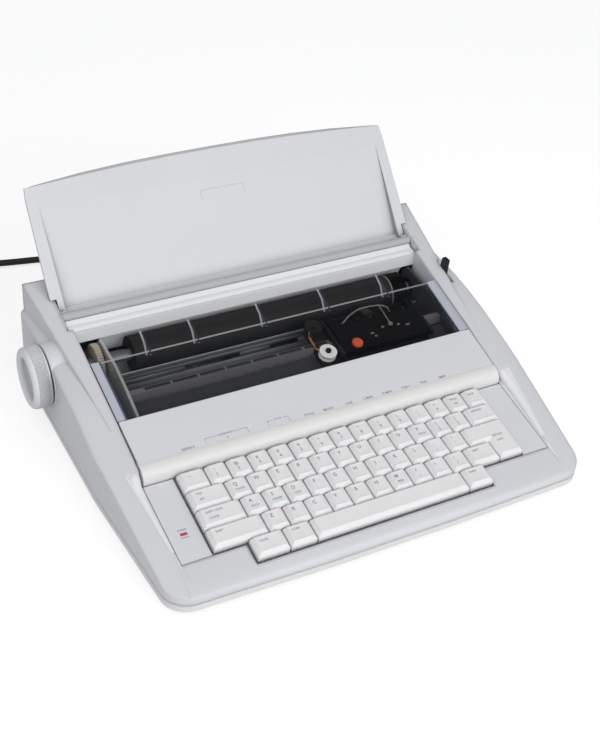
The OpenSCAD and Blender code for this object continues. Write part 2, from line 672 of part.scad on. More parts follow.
module paper_pan()
  color("#B5B8BA")
  difference() {
    along_x(left_x, right_x) polygon(concat(
      [for (i = [0:12]) let (t = 200 + i * 140 / 12)
        [platen_y + (platen_r + 2.7) * cos(t), platen_z + (platen_r + 2.7) * sin(t)]],
      [for (i = [12:-1:0]) let (t = 200 + i * 140 / 12)
        [platen_y + (platen_r + 1.5) * cos(t), platen_z + (platen_r + 1.5) * sin(t)]]));
    for (x = feed_xs)
      box(x - 14.5, x + 14.5, feed_y - feed_r - 2, feed_y + feed_r + 2, feed_z - 9, feed_z + 12);
  }

// Line-feed gears with slim straight-flanked teeth
module gear(n, phase, bore, w)
  difference() {
    linear_extrude(w) union() {
      circle(gear_m * (n / 2 - 0.95), $fn = 2 * n);
      for (i = [0:n - 1])
        rotate(phase + i * 360 / n) polygon([[gear_m * (n / 2 - 1.1), -gear_m * 0.8],
          [gear_m * (n / 2), -gear_m * 0.6], [gear_m * (n / 2 + 0.75), -gear_m * 0.3],
          [gear_m * (n / 2 + 0.75), gear_m * 0.3], [gear_m * (n / 2), gear_m * 0.6],
          [gear_m * (n / 2 - 1.1), gear_m * 0.8]]);
    }
    translate([0, 0, -1]) cylinder(r = bore, h = w + 2, $fn = 48);
  }
module gear_at(y, z) translate([gear_x - gear_w, y, z]) rotate([90, 0, 90]) children();
module platen_gear()
  color("#E3DFD2")
  gear_at(platen_y, platen_z) gear(teeth_a, phase_a, shaft_r + seat, gear_w);
module idler_gear()
  color("#E3DFD2")
  gear_at(idler_y, idler_z) gear(teeth_b, phase_b, 3 + run_fit, gear_w);
module motor_pinion()
  color("#C9A15A")
  gear_at(pinion_y, pinion_z) gear(teeth_c, phase_c, 1.5 + run_fit, gear_w);
module line_feed_motor()
  color("#7C7F83") {
    rod(left_x, left_x + 22, pinion_y, pinion_z, 18);
    rod(gear_x - gear_w - 1, left_x + 2, pinion_y, pinion_z, 1.5);
  }
module platen_roller()
  color("#1E1E1F")
  difference() {
    rod(platen_x0, platen_x1, platen_y, platen_z, platen_r);
    rod(platen_x0 - 1, platen_x1 + 1, platen_y, platen_z, shaft_r + seat);
  }
module platen_shaft() color("#C4C8CC") rod(knob_x - 11, right_x + 6, platen_y, platen_z, shaft_r);
module platen_knob()
  color("#B9BBBD")
  translate([knob_x, platen_y, platen_z]) rotate([0, -90, 0])
    rotate_extrude($fn = 72)
      polygon([[shaft_r + seat, 0], [knob_r - 1.5, 0], [knob_r, 1.5], [knob_r, knob_t - 2],
        [knob_r - 2, knob_t], [knob_r - 6, knob_t], [knob_r - 7.5, knob_t - 3.5], [0, knob_t - 3.5],
        [0, 11 + seat], [shaft_r + seat, 11 + seat]]);
module feed_rollers()
  color("#2A2A2B")
  for (x = feed_xs)
    difference() {
      rod(x - 13, x + 13, feed_y, feed_z, feed_r);
      rod(x - 14, x + 14, feed_y, feed_z, feed_shaft_r + seat);
    }
module feed_shaft()
  color("#C4C8CC")
  rod(left_x - frame_t - 0.8, right_x + frame_t + 0.8, feed_y, feed_z, feed_shaft_r);

module release_lever()
  color("#202022")
  difference() {
    union() {
      rod(lever_x, lever_x + lever_t, lever_y, lever_z, 8);
      along_x(lever_x, lever_x + lever_t) polygon([[lever_y - 6.5, lever_z], [lever_y + 5.5, lever_z],
        [lever_y - 4, lever_z + 34], [lever_y - 6, lever_z + 51.6], [lever_y - 13, lever_z + 51.6],
        [lever_y - 12, lever_z + 34]]);
    }
    rod(lever_x - 1, lever_x + lever_t + 1, lever_y, lever_z, lever_pin_r + run_fit);
  }

// Print carriage
module wall_x(x0, pts) along_x(x0, x0 + plate_t) polygon(pts);
back_y = scale_y + scale_w + fit;
top_y = scale_y - fit;
scale_top = scale_z + scale_h + fit;
side_pts = [[back_y, 8], [rail_y + 9, 8], [rail_y + 10, 30], [rail_y + 16, 56], [rail_y + 12, 66],
  [rail_y - 32, 60], [rail_y - 32, 54.5], [top_y, 54.5], [top_y, scale_top], [back_y, scale_top]];
function tray_z(y) = plane_z(y) - 16.8;
module strip(x0, x1, y0, y1) along_x(x0, x1) polygon([[y0, tray_z(y0) - 2], [y1, tray_z(y1) - 2],
  [y1, tray_z(y1)], [y0, tray_z(y0)]]);
module carriage_frame()
  color("#2C2C2E")
  difference() {
    union() {
      wall_x(plate_a, side_pts);
      wall_x(plate_b, side_pts);
      rod(plate_a, plate_b + plate_t, rail_y, rail_z, 7.5);
      on_wheel() box(plate_a - cx + 1, plate_b - cx + 1, -22, 13, -4.5, -2);
      strip(wing_x, plate_b + 1, rail_y - 33, top_y - 0.3);
      strip(wing_x, plate_a + 1, back_y + 0.3, rail_y + 10);
      strip(plate_a, plate_b + 1, back_y + 0.3, rail_y + 2);
      box(cx - 15, cx + 15, belt_y + belt_r - 3, rail_y - 5, belt_z - 3, belt_z + belt_w + 3);
      along_x(cx - 7, cx + 7) polygon([[strike_y - 24.6, strike_z - 4.8], [strike_y - 8.6, strike_z - 10.8],
        [strike_y - 5.2, strike_z - 8], [strike_y - 7.2, strike_z - 4.1], [strike_y - 24.6, strike_z - 1.1]]);
      on_top() for (y = spool_ys)
        translate([wing_x + 9, y, -17]) cylinder(r = 2.5, h = 9, $fn = 32);
    }
    rod(plate_a - 1, plate_b + plate_t + 1, rail_y, rail_z, rail_r + run_fit);
    box(cx - 16, cx + 16, belt_y + belt_r - fit, belt_y + belt_r + belt_t + fit,
      belt_z - fit, belt_z + belt_w + fit);
    on_wheel() translate([0, 0, -6]) cylinder(r = 4, h = 6, $fn = 40);
    on_hammer() translate([0, 0, 8]) cylinder(r = 5 + seat, h = 18, $fn = 40);
  }
module wheel_motor()
  color("#7C7F83")
  on_wheel() {
    translate([0, 0, -24.5]) cylinder(r = 12, h = 20, $fn = 48);
    translate([0, 0, -5]) cylinder(r = 2, h = 8, $fn = 32);
  }
module hammer_coil()
  color("#B0703A")
  on_hammer()
    difference() {
      translate([0, 0, 9]) cylinder(r = 5, h = 14, $fn = 40);
      translate([0, 0, 8]) cylinder(r = 1.5 + run_fit, h = 18, $fn = 32);
    }
module hammer_pin()
  color("#C4C8CC")
  on_hammer() translate([0, 0, 3.6]) cylinder(r = 1.5, h = 21.6, $fn = 32);
module daisy_wheel()
  color("#303236")
  on_wheel()
    difference() {
      union() {
        translate([0, 0, -0.6]) linear_extrude(1.2) union() {
          circle(11, $fn = 48);
          for (i = [0:23])
            rotate(i * 15) translate([9, -0.9]) square([daisy_r - 9, 1.8]);
        }
        translate([0, 0, -0.8]) cylinder(r = 6, h = 4, $fn = 40);
      }
      translate([0, 0, -2]) cylinder(r = 2 + run_fit, h = 8, $fn = 32);
    }
module ribbon_cassette()
  color("#19191A")
  difference() {
    translate([cx, 0, 0]) on_top() {
      box(-44.5, 44.5, 14, 45, -15.9, -6.5);
      for (x = [-44.5, 38.5])
        box(x, x + 6, 44, 56, -14, -7.5);
      translate([-30, 20, -7]) cylinder(r = 5, h = 2.4, $fn = 32);
    }
    box(cx - 50, cx + 50, top_y - 0.5, back_y + 0.5, 40, scale_top + 0.3);
  }
module correction_spools()
  color("#E9E9E6")
  on_top() for (y = spool_ys)
    translate([wing_x + 9, y, -15.9])
      difference() {
        union() {
          cylinder(r = 8, h = 1, $fn = 40);
          cylinder(r = 5.5, h = 6, $fn = 40);
          translate([0, 0, 5]) cylinder(r = 8, h = 1, $fn = 40);
        }
        translate([0, 0, -1]) cylinder(r = 2.5 + seat, h = 8, $fn = 32);
      }
module pulley(r, bore)
  difference() {
    union() {
      translate([0, 0, belt_z]) cylinder(r = r, h = belt_w, $fn = 48);
      translate([0, 0, belt_z + belt_w + fit]) cylinder(r = r + 2.5, h = 1.2, $fn = 48);
      translate([0, 0, belt_z + belt_w - 0.5]) cylinder(r = r - 1, h = 1.5, $fn = 48);
    }
    translate([0, 0, belt_z - 1]) cylinder(r = bore, h = belt_w + 5, $fn = 40);
  }
module drive_pulley() color("#D8D5C8") translate([drive_x, belt_y, 0]) pulley(pulley_r, 2.5 + run_fit);
module idler_pulley() color("#D8D5C8") translate([idle_x, belt_y, 0]) pulley(pulley_r, 3 + run_fit);
module belt_loop(r) {
  translate([drive_x, belt_y]) circle(r, $fn = 48);
  translate([idle_x, belt_y]) circle(r, $fn = 48);
  translate([idle_x, belt_y - r]) square([drive_x - idle_x, 2 * r]);
}
module drive_belt()
  color("#222223")
  translate([0, 0, belt_z])
    linear_extrude(belt_w)
      difference() {
        belt_loop(belt_r + belt_t);
        belt_loop(belt_r);
      }
module carriage_motor()
  color("#7C7F83") {
    post(drive_x, belt_y, pan_floor, 17, 15);
    post(drive_x, belt_y, 16, belt_z + belt_w + 1.5, 2.5);
  }

// Electrics in the back of the pan
module main_board()
  color("#2F6B45") {
    box(board_x0, board_x1, yr - 50, yr - 9, 8, 9.6);
    box(board_x0 + 20, board_x0 + 80, yr - 40, yr - 30, 9.5, 13);
    box(board_x0 + 100, board_x0 + 150, yr - 34, yr - 24, 9.5, 13);
    box(board_x1 - 40, board_x1 - 10, yr - 44, yr - 34, 9.5, 24);
  }
module transformer()
  color("#5A4A3A") {
    box(-hw + 7.5, -hw + 38.5, yr - 42, yr - 8, pan_floor, 40);
    box(-hw + 12, -hw + 34, yr - 46, yr - 7.5, 10, 33);
  }

// Mains cord
module cord_gland()
  color("#1B1B1C")
  translate([gland_x, yr, gland_z]) rotate([-90, 0, 0])
    rotate_extrude($fn = 40)
      polygon([[0, -5], [6, -5], [6, 0], [9, 0], [9, 2], [6, 2], [cord_r + 0.6, 2 + gland_l],
        [0, 2 + gland_l]]);

// Tube swept along a path; the end rings face the given directions
function unit(v) = v / norm(v);
function path_dir(p, i, d0, d1) = i == 0 ? d0 : i == len(p) - 1 ? d1 : unit(p[i + 1] - p[i - 1]);
function ring(c, d, r, n) = let (s = unit(cross(d, [0, 0, 1])), u = cross(s, d))
  [for (k = [0:n - 1]) c + r * cos(360 * k / n) * s + r * sin(360 * k / n) * u];
module tube(p, r, n, d0, d1) {
  m = len(p);
  polyhedron(
    points = [for (i = [0:m - 1]) each ring(p[i], path_dir(p, i, d0, d1), r, n)],
    faces = concat([[for (k = [0:n - 1]) k]],
      [for (i = [0:m - 2], k = [0:n - 1])
        [i * n + k, i * n + n + k, i * n + n + (k + 1) % n, i * n + (k + 1) % n]],
      [[for (k = [n - 1:-1:0]) (m - 1) * n + k]]));
}
module cord_run() color("#151516") tube(run_path, cord_r, 10, [0, 1, 0], [-1, 0, 0]);
module cord_coil() color("#151516") tube(coil_path, cord_r, 6, [-1, 0, 0], [0, -1, 0]);
module cord_tie()
  color("#2E2E30")
  translate([coil_c.x, coil_c.y + 4, coil_z]) rotate([90, 0, 0])
    linear_extrude(8)
      difference() {
        translate([tie_r0 - tie_t, -cord_r - fit - tie_t])
          square([tie_r1 - tie_r0 + 2 * tie_t, coil_pitch + cord_d + 2 * fit + 2 * tie_t]);
        translate([tie_r0, -cord_r - fit])
          square([tie_r1 - tie_r0, coil_pitch + cord_d + 2 * fit]);
      }
module plug()
  color("#1B1B1C")
  translate([plug_x, plug_y, plug_z]) rotate([90, 0, 0]) {
    cylinder(r1 = cord_r + 0.8, r2 = 6.5, h = 16, $fn = 32);
    hull() {
      translate([0, 0, 12]) linear_extrude(0.1) pad(0, 0, 16, 16, 4);
      translate([0, 0, 22]) linear_extrude(18) pad(0, 0, 26, 2 * (plug_z - table_z), 5);
    }
    for (s = [-1, 1])
      translate([s * 6.4 - 0.75, -3.2, 39]) cube([1.5, 6.4, 17.5]);
  }

base_pan();
upper_housing();
keyboard_bezel();
power_lamp();
rubber_feet();
case_screws();
left_side_frame();
right_side_frame();
carriage_shaft();
line_scale();
well_tray();
paper_pan();
platen_bushes();
line_feed_motor();
carriage_motor();
drive_belt();
main_board();
transformer();
keyboard_plate();
key_circuit();
lid_hinge_pins();
cord_gland();
cord_run();
cord_coil();
cord_tie();
plug();
paper_support();
top_cover();
window();
platen_roller();
platen_shaft();
platen_gear();
platen_knob();
idler_gear();
motor_pinion();
feed_rollers();
feed_shaft();
release_lever();
carriage_frame();
wheel_motor();
hammer_coil();
ribbon_cassette();
correction_spools();
daisy_wheel();
hammer_pin();
drive_pulley();
idler_pulley();
row1_keys();
row2_keys();
row3_keys();
row4_keys();
row5_keys();
tab_key();
lock_key();
left_shift_key();
right_shift_key();
return_key();
space_bar();
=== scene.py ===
import json
from math import copysign, cos, hypot, pi, radians, sin, tan

import bmesh
import bpy
from mathutils import Matrix, Vector
from mathutils.bvhtree import BVHTree


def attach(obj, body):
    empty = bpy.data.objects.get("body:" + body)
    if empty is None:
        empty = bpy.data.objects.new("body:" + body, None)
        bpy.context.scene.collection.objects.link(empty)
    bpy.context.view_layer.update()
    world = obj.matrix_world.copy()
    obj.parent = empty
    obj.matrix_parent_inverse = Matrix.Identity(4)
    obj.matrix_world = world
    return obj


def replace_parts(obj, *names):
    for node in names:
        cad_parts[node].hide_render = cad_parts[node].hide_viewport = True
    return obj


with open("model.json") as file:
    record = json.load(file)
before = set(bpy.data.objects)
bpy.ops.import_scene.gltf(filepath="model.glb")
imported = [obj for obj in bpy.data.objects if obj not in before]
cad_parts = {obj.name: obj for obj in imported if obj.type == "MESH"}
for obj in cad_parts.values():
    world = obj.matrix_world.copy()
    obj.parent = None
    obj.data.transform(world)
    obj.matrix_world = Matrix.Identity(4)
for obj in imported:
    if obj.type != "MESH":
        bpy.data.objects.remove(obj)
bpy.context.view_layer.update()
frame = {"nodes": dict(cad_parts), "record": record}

# Lengths are in millimetres; MM brings them to Blender's metres
MM = 0.001
scene = bpy.context.scene
BODY = {node: body for body, nodes in frame["record"]["behaviour"]["bodies"].items()
        for node in nodes}


# Frames of the sloping parts, and the axis of the platen
def tilt(y, z, degrees):
    return Matrix.Translation((0, y, z)) @ Matrix.Rotation(radians(degrees), 4, "X")


TOP_Y, TOP_SLOPE = 2, 14
KEYS = tilt(-54, 38.5, 10)
TOP = tilt(TOP_Y, 63.5, TOP_SLOPE)
LID = tilt(120.5, 89.026, 48.7)
FLAT = Matrix.Identity(4)
PLATEN_Y, PLATEN_Z = 94, 54.5

# Camera as in the photograph: its axes to the right, up and back, and its place
CAMERA_AXES = ((0.88159, -0.46629, 0.07334),
               (0.23369, 0.56615, 0.79049),
               (-0.41012, -0.67974, 0.60808))
CAMERA_PLACE = (-446.69, -730.23, 722.99)
cam_data = bpy.data.cameras.new("camera")
cam = bpy.data.objects.new("camera", cam_data)
scene.collection.objects.link(cam)
place = Matrix(CAMERA_AXES).transposed().to_4x4()
place.translation = Vector(CAMERA_PLACE) * MM
cam.matrix_world = place
cam_data.sensor_fit = "VERTICAL"
cam_data.sensor_height = 36
cam_data.lens = 61.18
cam_data.clip_end = 50
scene.camera = cam


# Materials
def rgb(*colour):
    # Linear colour of screen values from 0 to 255
    return tuple(((c / 255 + 0.055) / 1.055) ** 2.4 if c > 10 else c / 255 / 12.92
                 for c in colour) + (1,)


class Nodes:
    # The node tree of a material or a world, emptied but for its output
    def __init__(self, owner, output="ShaderNodeOutputMaterial"):
        owner.use_nodes = True
        self.tree = owner.node_tree
        self.tree.nodes.clear()
        self.out = self.add(output)

    def add(self, kind, **values):
        node = self.tree.nodes.new(kind)
        for key, value in values.items():
            if hasattr(node, key):
                setattr(node, key, value)
            else:
                node.inputs[key.replace("_", " ")].default_value = value
        return node

    def join(self, a, b):
        self.tree.links.new(a, b)

    def noise(self, scale, detail=3):
        coord = self.add("ShaderNodeTexCoord")
        tex = self.add("ShaderNodeTexNoise", Scale=scale, Detail=detail)
        self.join(coord.outputs["Object"], tex.inputs["Vector"])
        return tex.outputs["Fac"]

    def spread(self, noise, low, high):
        # The middle of the noise, where nearly all of it lies, drawn out from low to high
        ramp = self.add("ShaderNodeMapRange", From_Min=0.3, From_Max=0.7, To_Min=low, To_Max=high)
        self.join(noise, ramp.inputs["Value"])
        return ramp.outputs["Result"]

    def blend(self, share, first, second):
        node = self.add("ShaderNodeMixShader")
        if isinstance(share, float):
            node.inputs[0].default_value = share
        else:
            self.join(share, node.inputs[0])
        self.join(first.outputs[0], node.inputs[1])
        self.join(second.outputs[0], node.inputs[2])
        return node

    def surface(self, shader):
        self.join(shader.outputs[0], self.out.inputs["Surface"])


MIX_A, MIX_B, MIX_OUT = 6, 7, 2
GRAIN_DEPTH = 0.0001
ROUGH_LOW, ROUGH_HIGH = 0.92, 1.08


def finish_of(name, colour, rough, vary, patch, grain=0, grain_scale=2600, metal=0.0, edge=0, nook_shade=0,
              shine=0.5, emit=0):
    # One colour in faint patches; grain, softened edges, painted shade in nooks (ambient occlusion
    # darkens the colour) and a glow where asked
    mat = bpy.data.materials.new(name)
    n = Nodes(mat)
    base = rgb(*colour)
    bsdf = n.add("ShaderNodeBsdfPrincipled", Metallic=metal, Specular_IOR_Level=shine)
    patches = n.noise(patch)
    mix = n.add("ShaderNodeMix", data_type="RGBA")
    n.join(n.spread(patches, 0, 1), mix.inputs["Factor"])
    mix.inputs[MIX_A].default_value = tuple(c * (1 - vary) for c in base[:3]) + (1,)
    mix.inputs[MIX_B].default_value = tuple(min(1, c * (1 + vary)) for c in base[:3]) + (1,)
    paint = mix.outputs[MIX_OUT]
    # Painted shade: ambient occlusion darkens the colour in nooks and corners
    if nook_shade:
        nook_shade_node = n.add("ShaderNodeAmbientOcclusion", samples=8, Distance=nook_shade * MM)
        n.join(paint, nook_shade_node.inputs["Color"])
        paint = nook_shade_node.outputs["Color"]
    n.join(paint, bsdf.inputs["Base Color"])
    roughness = n.spread(patches, rough * ROUGH_LOW, min(1, rough * ROUGH_HIGH))
    n.join(roughness, bsdf.inputs["Roughness"])
    normal = None
    if edge:
        normal = n.add("ShaderNodeBevel", samples=6, Radius=edge * MM).outputs["Normal"]
    if grain:
        bump = n.add("ShaderNodeBump", Strength=grain, Distance=GRAIN_DEPTH)
        n.join(n.noise(grain_scale, 2), bump.inputs["Height"])
        if normal:
            n.join(normal, bump.inputs["Normal"])
        normal = bump.outputs["Normal"]
    if normal:
        n.join(normal, bsdf.inputs["Normal"])
    if emit:
        bsdf.inputs["Emission Color"].default_value = base
        bsdf.inputs["Emission Strength"].default_value = emit
    n.surface(bsdf)
    return mat


GLARE, GLARE_PATCH, GLARE_ROUGH = (0.14, 0.147, 0.16, 1), 30, (0.2, 0.24)
INDEX_IN, INDEX_OUT = 1.45, 0.69


def clear_of(name, tint, colour, share):
    # Tinted plastic with a share of solid colour; the index of the far side is turned round
    mat = bpy.data.materials.new(name)
    n = Nodes(mat)
    through = n.add("ShaderNodeBsdfTransparent", Color=tint)
    body = n.add("ShaderNodeBsdfPrincipled", Base_Color=rgb(*colour), Roughness=0.12)
    shine = n.add("ShaderNodeBsdfGlossy", Color=GLARE)
    n.join(n.spread(n.noise(GLARE_PATCH), *GLARE_ROUGH), shine.inputs["Roughness"])
    side = n.add("ShaderNodeNewGeometry")
    index = n.add("ShaderNodeMapRange", To_Min=INDEX_IN, To_Max=INDEX_OUT)
    n.join(side.outputs["Backfacing"], index.inputs["Value"])
    fresnel = n.add("ShaderNodeFresnel")
    n.join(index.outputs["Result"], fresnel.inputs["IOR"])
    n.surface(n.blend(fresnel.outputs[0], n.blend(share, through, body), shine))
    return mat


MOULDED = dict(vary=0.012, patch=9, grain=0.1)
GLOSSY = dict(rough=0.42, vary=0.012, patch=9, grain=0.08, edge=1)
SHEETS = dict(rough=0.5, vary=0.06, patch=30, grain=0.05, grain_scale=3000, metal=0.2, shine=0.3)
CASE = finish_of("case_plastic", (206, 207, 211), rough=0.46, edge=4.5, **MOULDED)
# Lid plastic with painted shade in its nooks, which darkens the lid towards the hinge
LID_CASE = finish_of("lid_plastic", (209, 210, 213), rough=0.46, edge=1.2, nook_shade=13, **MOULDED)
# Darker copies of the lid plastic, painted shade: on the ledge and the barrel by the hinge and on the
# faces of the top edge
LEDGE_SHADE = finish_of("lid_ledge_painted_shade", (205, 206, 209), rough=0.5, edge=0.6, **MOULDED)
FOOT_SHADE = finish_of("lid_foot_painted_shade", (176, 177, 180), rough=0.5, edge=0.6, nook_shade=3, **MOULDED)
RIM_SHADE = finish_of("rim_painted_shade", (188, 189, 192), rough=0.46, edge=0.6, **MOULDED)
# Lighter copy of the case plastic, painted light: rear bar, wall behind the platen, folds and rolls by
# the key field, hinge strip
PAINTED_LIGHT = finish_of("case_plastic_painted_light", (226, 227, 230), **GLOSSY)
# Lighter, slightly warmer copy of the panel plastic: painted highlight on the lip
LIP_HIGHLIGHT = finish_of("lip_painted_highlight", (219, 218, 217), **GLOSSY)
# Paler plastic of the top cover, and painted light on the boss behind the knob
PALE_AND_PAINTED_LIGHT = finish_of("case_plastic_pale_and_painted_light", (212, 213, 217), **GLOSSY)
# Knob plastic with painted shade in its nooks
KNOB = finish_of("knob_plastic", (216, 217, 220), rough=0.44, edge=0.25, nook_shade=14, **MOULDED)
# Darker copy of the knob plastic: painted shade in the sunk face of the knob
SUNK_SHADE = finish_of("knob_sunk_painted_shade", (176, 177, 180), rough=0.5, **MOULDED)
PAN = finish_of("pan_plastic", (217, 217, 216), rough=0.5, vary=0.012, patch=9, grain=0.12, edge=0.8)
BEZEL = finish_of("bezel_plastic", (211, 212, 215), rough=0.5, vary=0.01, patch=10, grain=0.14,
                  edge=0.4)
CAP = finish_of("keycap_plastic", (226, 225, 226), rough=0.4, vary=0.012, patch=40, grain=0.1,
                grain_scale=3200)
INK = finish_of("legend_ink", (138, 140, 144), rough=0.6, vary=0.05, patch=300)
TEAL = finish_of("legend_teal", (96, 156, 157), rough=0.6, vary=0.05, patch=300)
FAINT = finish_of("faint_ink", (188, 190, 194), rough=0.5, vary=0.03, patch=200)
BLACK = finish_of("black_plastic", (24, 24, 27), rough=0.42, vary=0.08, patch=30, grain=0.12,
                  edge=0.5, shine=0.25)
DARK = finish_of("dark_sheet", (60, 60, 64), rough=0.55, vary=0.05, patch=16, grain=0.06, shine=0.2)
RUBBER = finish_of("rubber", (32, 32, 33), rough=0.62, vary=0.06, patch=24, grain=0.22,
                   grain_scale=2200, shine=0.25)
CASSETTE = finish_of("cassette_plastic", (10, 10, 12), rough=0.5, vary=0.08, patch=30, grain=0.1,
                     edge=0.5, shine=0.08)
PLATE = finish_of("grey_sheet", (124, 125, 127), **SHEETS)
FRAME = finish_of("frame_sheet", (168, 168, 166), **SHEETS)
BEIGE = finish_of("beige_plastic", (172, 164, 150), rough=0.5, vary=0.05, patch=40, grain=0.05,
                  shine=0.3)
GREY = finish_of("grey_plastic", (104, 104, 107), rough=0.5, vary=0.05, patch=30, grain=0.06,
                 shine=0.2)
BONE = finish_of("bone_plastic", (116, 114, 106), rough=0.45, vary=0.05, patch=60, grain=0.05)
CORD = finish_of("cord_jacket", (24, 24, 25), rough=0.5, vary=0.06, patch=60, grain=0.1)
AXLE = finish_of("dull_steel", (112, 113, 116), rough=0.45, vary=0.05, patch=40, grain=0.05,
                 grain_scale=5200, metal=0.5)
STEEL = finish_of("ground_steel", (196, 199, 203), rough=0.3, vary=0.03, patch=40, grain=0.05,
                  grain_scale=5200, metal=1.0)
SHEET = finish_of("zinc_sheet", (172, 174, 178), rough=0.42, vary=0.06, patch=50, grain=0.05,
                  grain_scale=3000, metal=0.7)
BRASS = finish_of("brass", (196, 160, 96), rough=0.36, vary=0.05, patch=60, grain=0.04,
                  grain_scale=3000, metal=0.9)
MOTOR = finish_of("motor_can", (126, 129, 134), rough=0.38, vary=0.05, patch=40, grain=0.05,
                  grain_scale=3000, metal=0.7)
NYLON = finish_of("nylon", (226, 222, 210), rough=0.45, vary=0.02, patch=40, grain=0.05)
WHITE = finish_of("white_plastic", (234, 234, 232), rough=0.4, vary=0.015, patch=40, grain=0.05)
AMBER = finish_of("amber_tape", (206, 150, 62), rough=0.35, vary=0.08, patch=60, grain=0.05)
BOARD = finish_of("circuit_board", (48, 104, 70), rough=0.5, vary=0.1, patch=90, grain=0.05)
IRON = finish_of("iron_core", (92, 80, 70), rough=0.55, vary=0.12, patch=80, grain=0.15)
RED = finish_of("lamp_red", (184, 66, 66), rough=0.35, vary=0.05, patch=200, emit=0.08)
ORANGE = finish_of("orange_plastic", (206, 84, 44), rough=0.4, vary=0.05, patch=100)
CLEAR = clear_of("clear_plastic", (0.975, 0.976, 0.98, 1), (214, 218, 226), 0.0015)
CLEAR_RAIL = clear_of("clear_rail", (0.8, 0.84, 0.92, 1), (222, 226, 236), 0.6)
CLEAR_EDGE = clear_of("clear_edge", (0.3, 0.34, 0.46, 1), (92, 100, 134), 0.6)
# Near-white copy of the clear plastic: painted highlight on the rear end of the pane and the feet of
# the fins
CLEAR_PAINTED_LIGHT = clear_of("clear_painted_light", (0.9, 0.92, 0.95, 1), (236, 238, 242), 0.6)
CLEAR_FIN = clear_of("clear_fin", (0.62, 0.65, 0.72, 1), (190, 196, 208), 0.5)
CLEAR_SIDE = clear_of("clear_side", (0.86, 0.87, 0.9, 1), (206, 210, 218), 0.1)

# Meshes
MERGE, FLATNESS = 2e-6, 0.4
SKIN_SHARP, BEVEL_ANGLE = 32, 30


def to_object(name, bm, mats, body):
    mesh = bpy.data.meshes.new(name)
    bm.to_mesh(mesh)
    bm.free()
    if "custom_normal" in mesh.attributes:
        mesh.attributes.remove(mesh.attributes["custom_normal"])
    for m in mats if isinstance(mats, list) else [mats]:
        mesh.materials.append(m)
    mesh.shade_smooth()
    obj = bpy.data.objects.new(name, mesh)
    scene.collection.objects.link(obj)
    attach(obj, body)
    return obj


def mark_sharp(bm, degrees):
    for e in bm.edges:
        e.smooth = not (len(e.link_faces) == 2 and e.calc_face_angle(0) > radians(degrees))


def faces_in(bm, at):
    # Each face with its middle and its normal in the frame given
    back = at.inverted()
    for f in bm.faces:
        yield f, back @ (f.calc_center_median() / MM), back.to_3x3() @ f.normal


def trim(name, bm, mats, body, sharp, second=None):
    # A piece of the scene's own; second says which faces take the second material
    bmesh.ops.recalc_face_normals(bm, faces=bm.faces)
    mark_sharp(bm, sharp)
    if second:
        for f, c, d in faces_in(bm, FLAT):
            f.material_index = 1 if second(c, d) else 0
    return to_object(name, bm, mats, body)


def skin(node, mats, bevel=0, segments=2, edit=None):
    # A copy of a solid's mesh, edited and bevelled, that stands for the solid
    source = frame["nodes"][node]
    bm = bmesh.new()
    bm.from_mesh(source.data)
    bm.transform(source.matrix_world)
    bmesh.ops.remove_doubles(bm, verts=bm.verts, dist=MERGE)
    bmesh.ops.dissolve_limit(bm, angle_limit=radians(FLATNESS), verts=bm.verts, edges=bm.edges)
    if edit:
        edit(bm)
    mark_sharp(bm, SKIN_SHARP)
    obj = to_object(node + "_skin", bm, mats, BODY[node])
    if bevel:
        mod = obj.modifiers.new("bevel", "BEVEL")
        mod.width = bevel * MM
        mod.segments = segments
        mod.limit_method = "ANGLE"
        mod.angle_limit = radians(BEVEL_ANGLE)
        mod.use_clamp_overlap = True
        mod.miter_outer = "MITER_ARC"
        mod.loop_slide = False
    mod = obj.modifiers.new("normals", "WEIGHTED_NORMAL")
    mod.keep_sharp = True
    mod.weight = 80
    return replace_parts(obj, node)


def box(bm, x0, x1, y0, y1, z0, z1, at=FLAT):
    v = [bm.verts.new(at @ Vector((x, y, z)) * MM)
         for x in (x0, x1) for y in (y0, y1) for z in (z0, z1)]
    for a in ((0, 1, 3, 2), (4, 6, 7, 5), (0, 4, 5, 1), (2, 3, 7, 6), (0, 2, 6, 4), (1, 5, 7, 3)):
        bm.faces.new([v[i] for i in a])


def loft(bm, rings, mat=0):
    # Closed rings of points in metres, joined in turn, with both ends closed
    rows = [[bm.verts.new(p) for p in ring] for ring in rings]
    n = len(rows[0])
    for a, b in zip(rows, rows[1:]):
        for i in range(n):
            bm.faces.new((a[i], a[(i + 1) % n], b[(i + 1) % n], b[i])).material_index = mat
    bm.faces.new(rows[0][::-1]).material_index = mat
    bm.faces.new(rows[-1]).material_index = mat


def turned(bm, profile, at, steps, mat=0):
    # A profile of radius and height turned about the frame's own Z
    turns = [2 * pi * k / steps for k in range(steps)]
    loft(bm, [[at @ Vector((r * cos(t), r * sin(t), z)) * MM for t in turns] for r, z in profile], mat)


def sweep(bm, path, radii, at, steps):
    # A round rod along a path, with a radius for each point of it
    points = [at @ Vector(p) for p in path]
    turns = [2 * pi * k / steps for k in range(steps)]
    rings = []
    for i, (p, r) in enumerate(zip(points, radii)):
        along = (points[min(i + 1, len(points) - 1)] - points[max(i - 1, 0)]).normalized()
        side = along.cross(Vector((0, 0, 1))).normalized()
        up = side.cross(along)
        rings.append([(p + (side * cos(t) + up * sin(t)) * r) * MM for t in turns])
    loft(bm, rings)


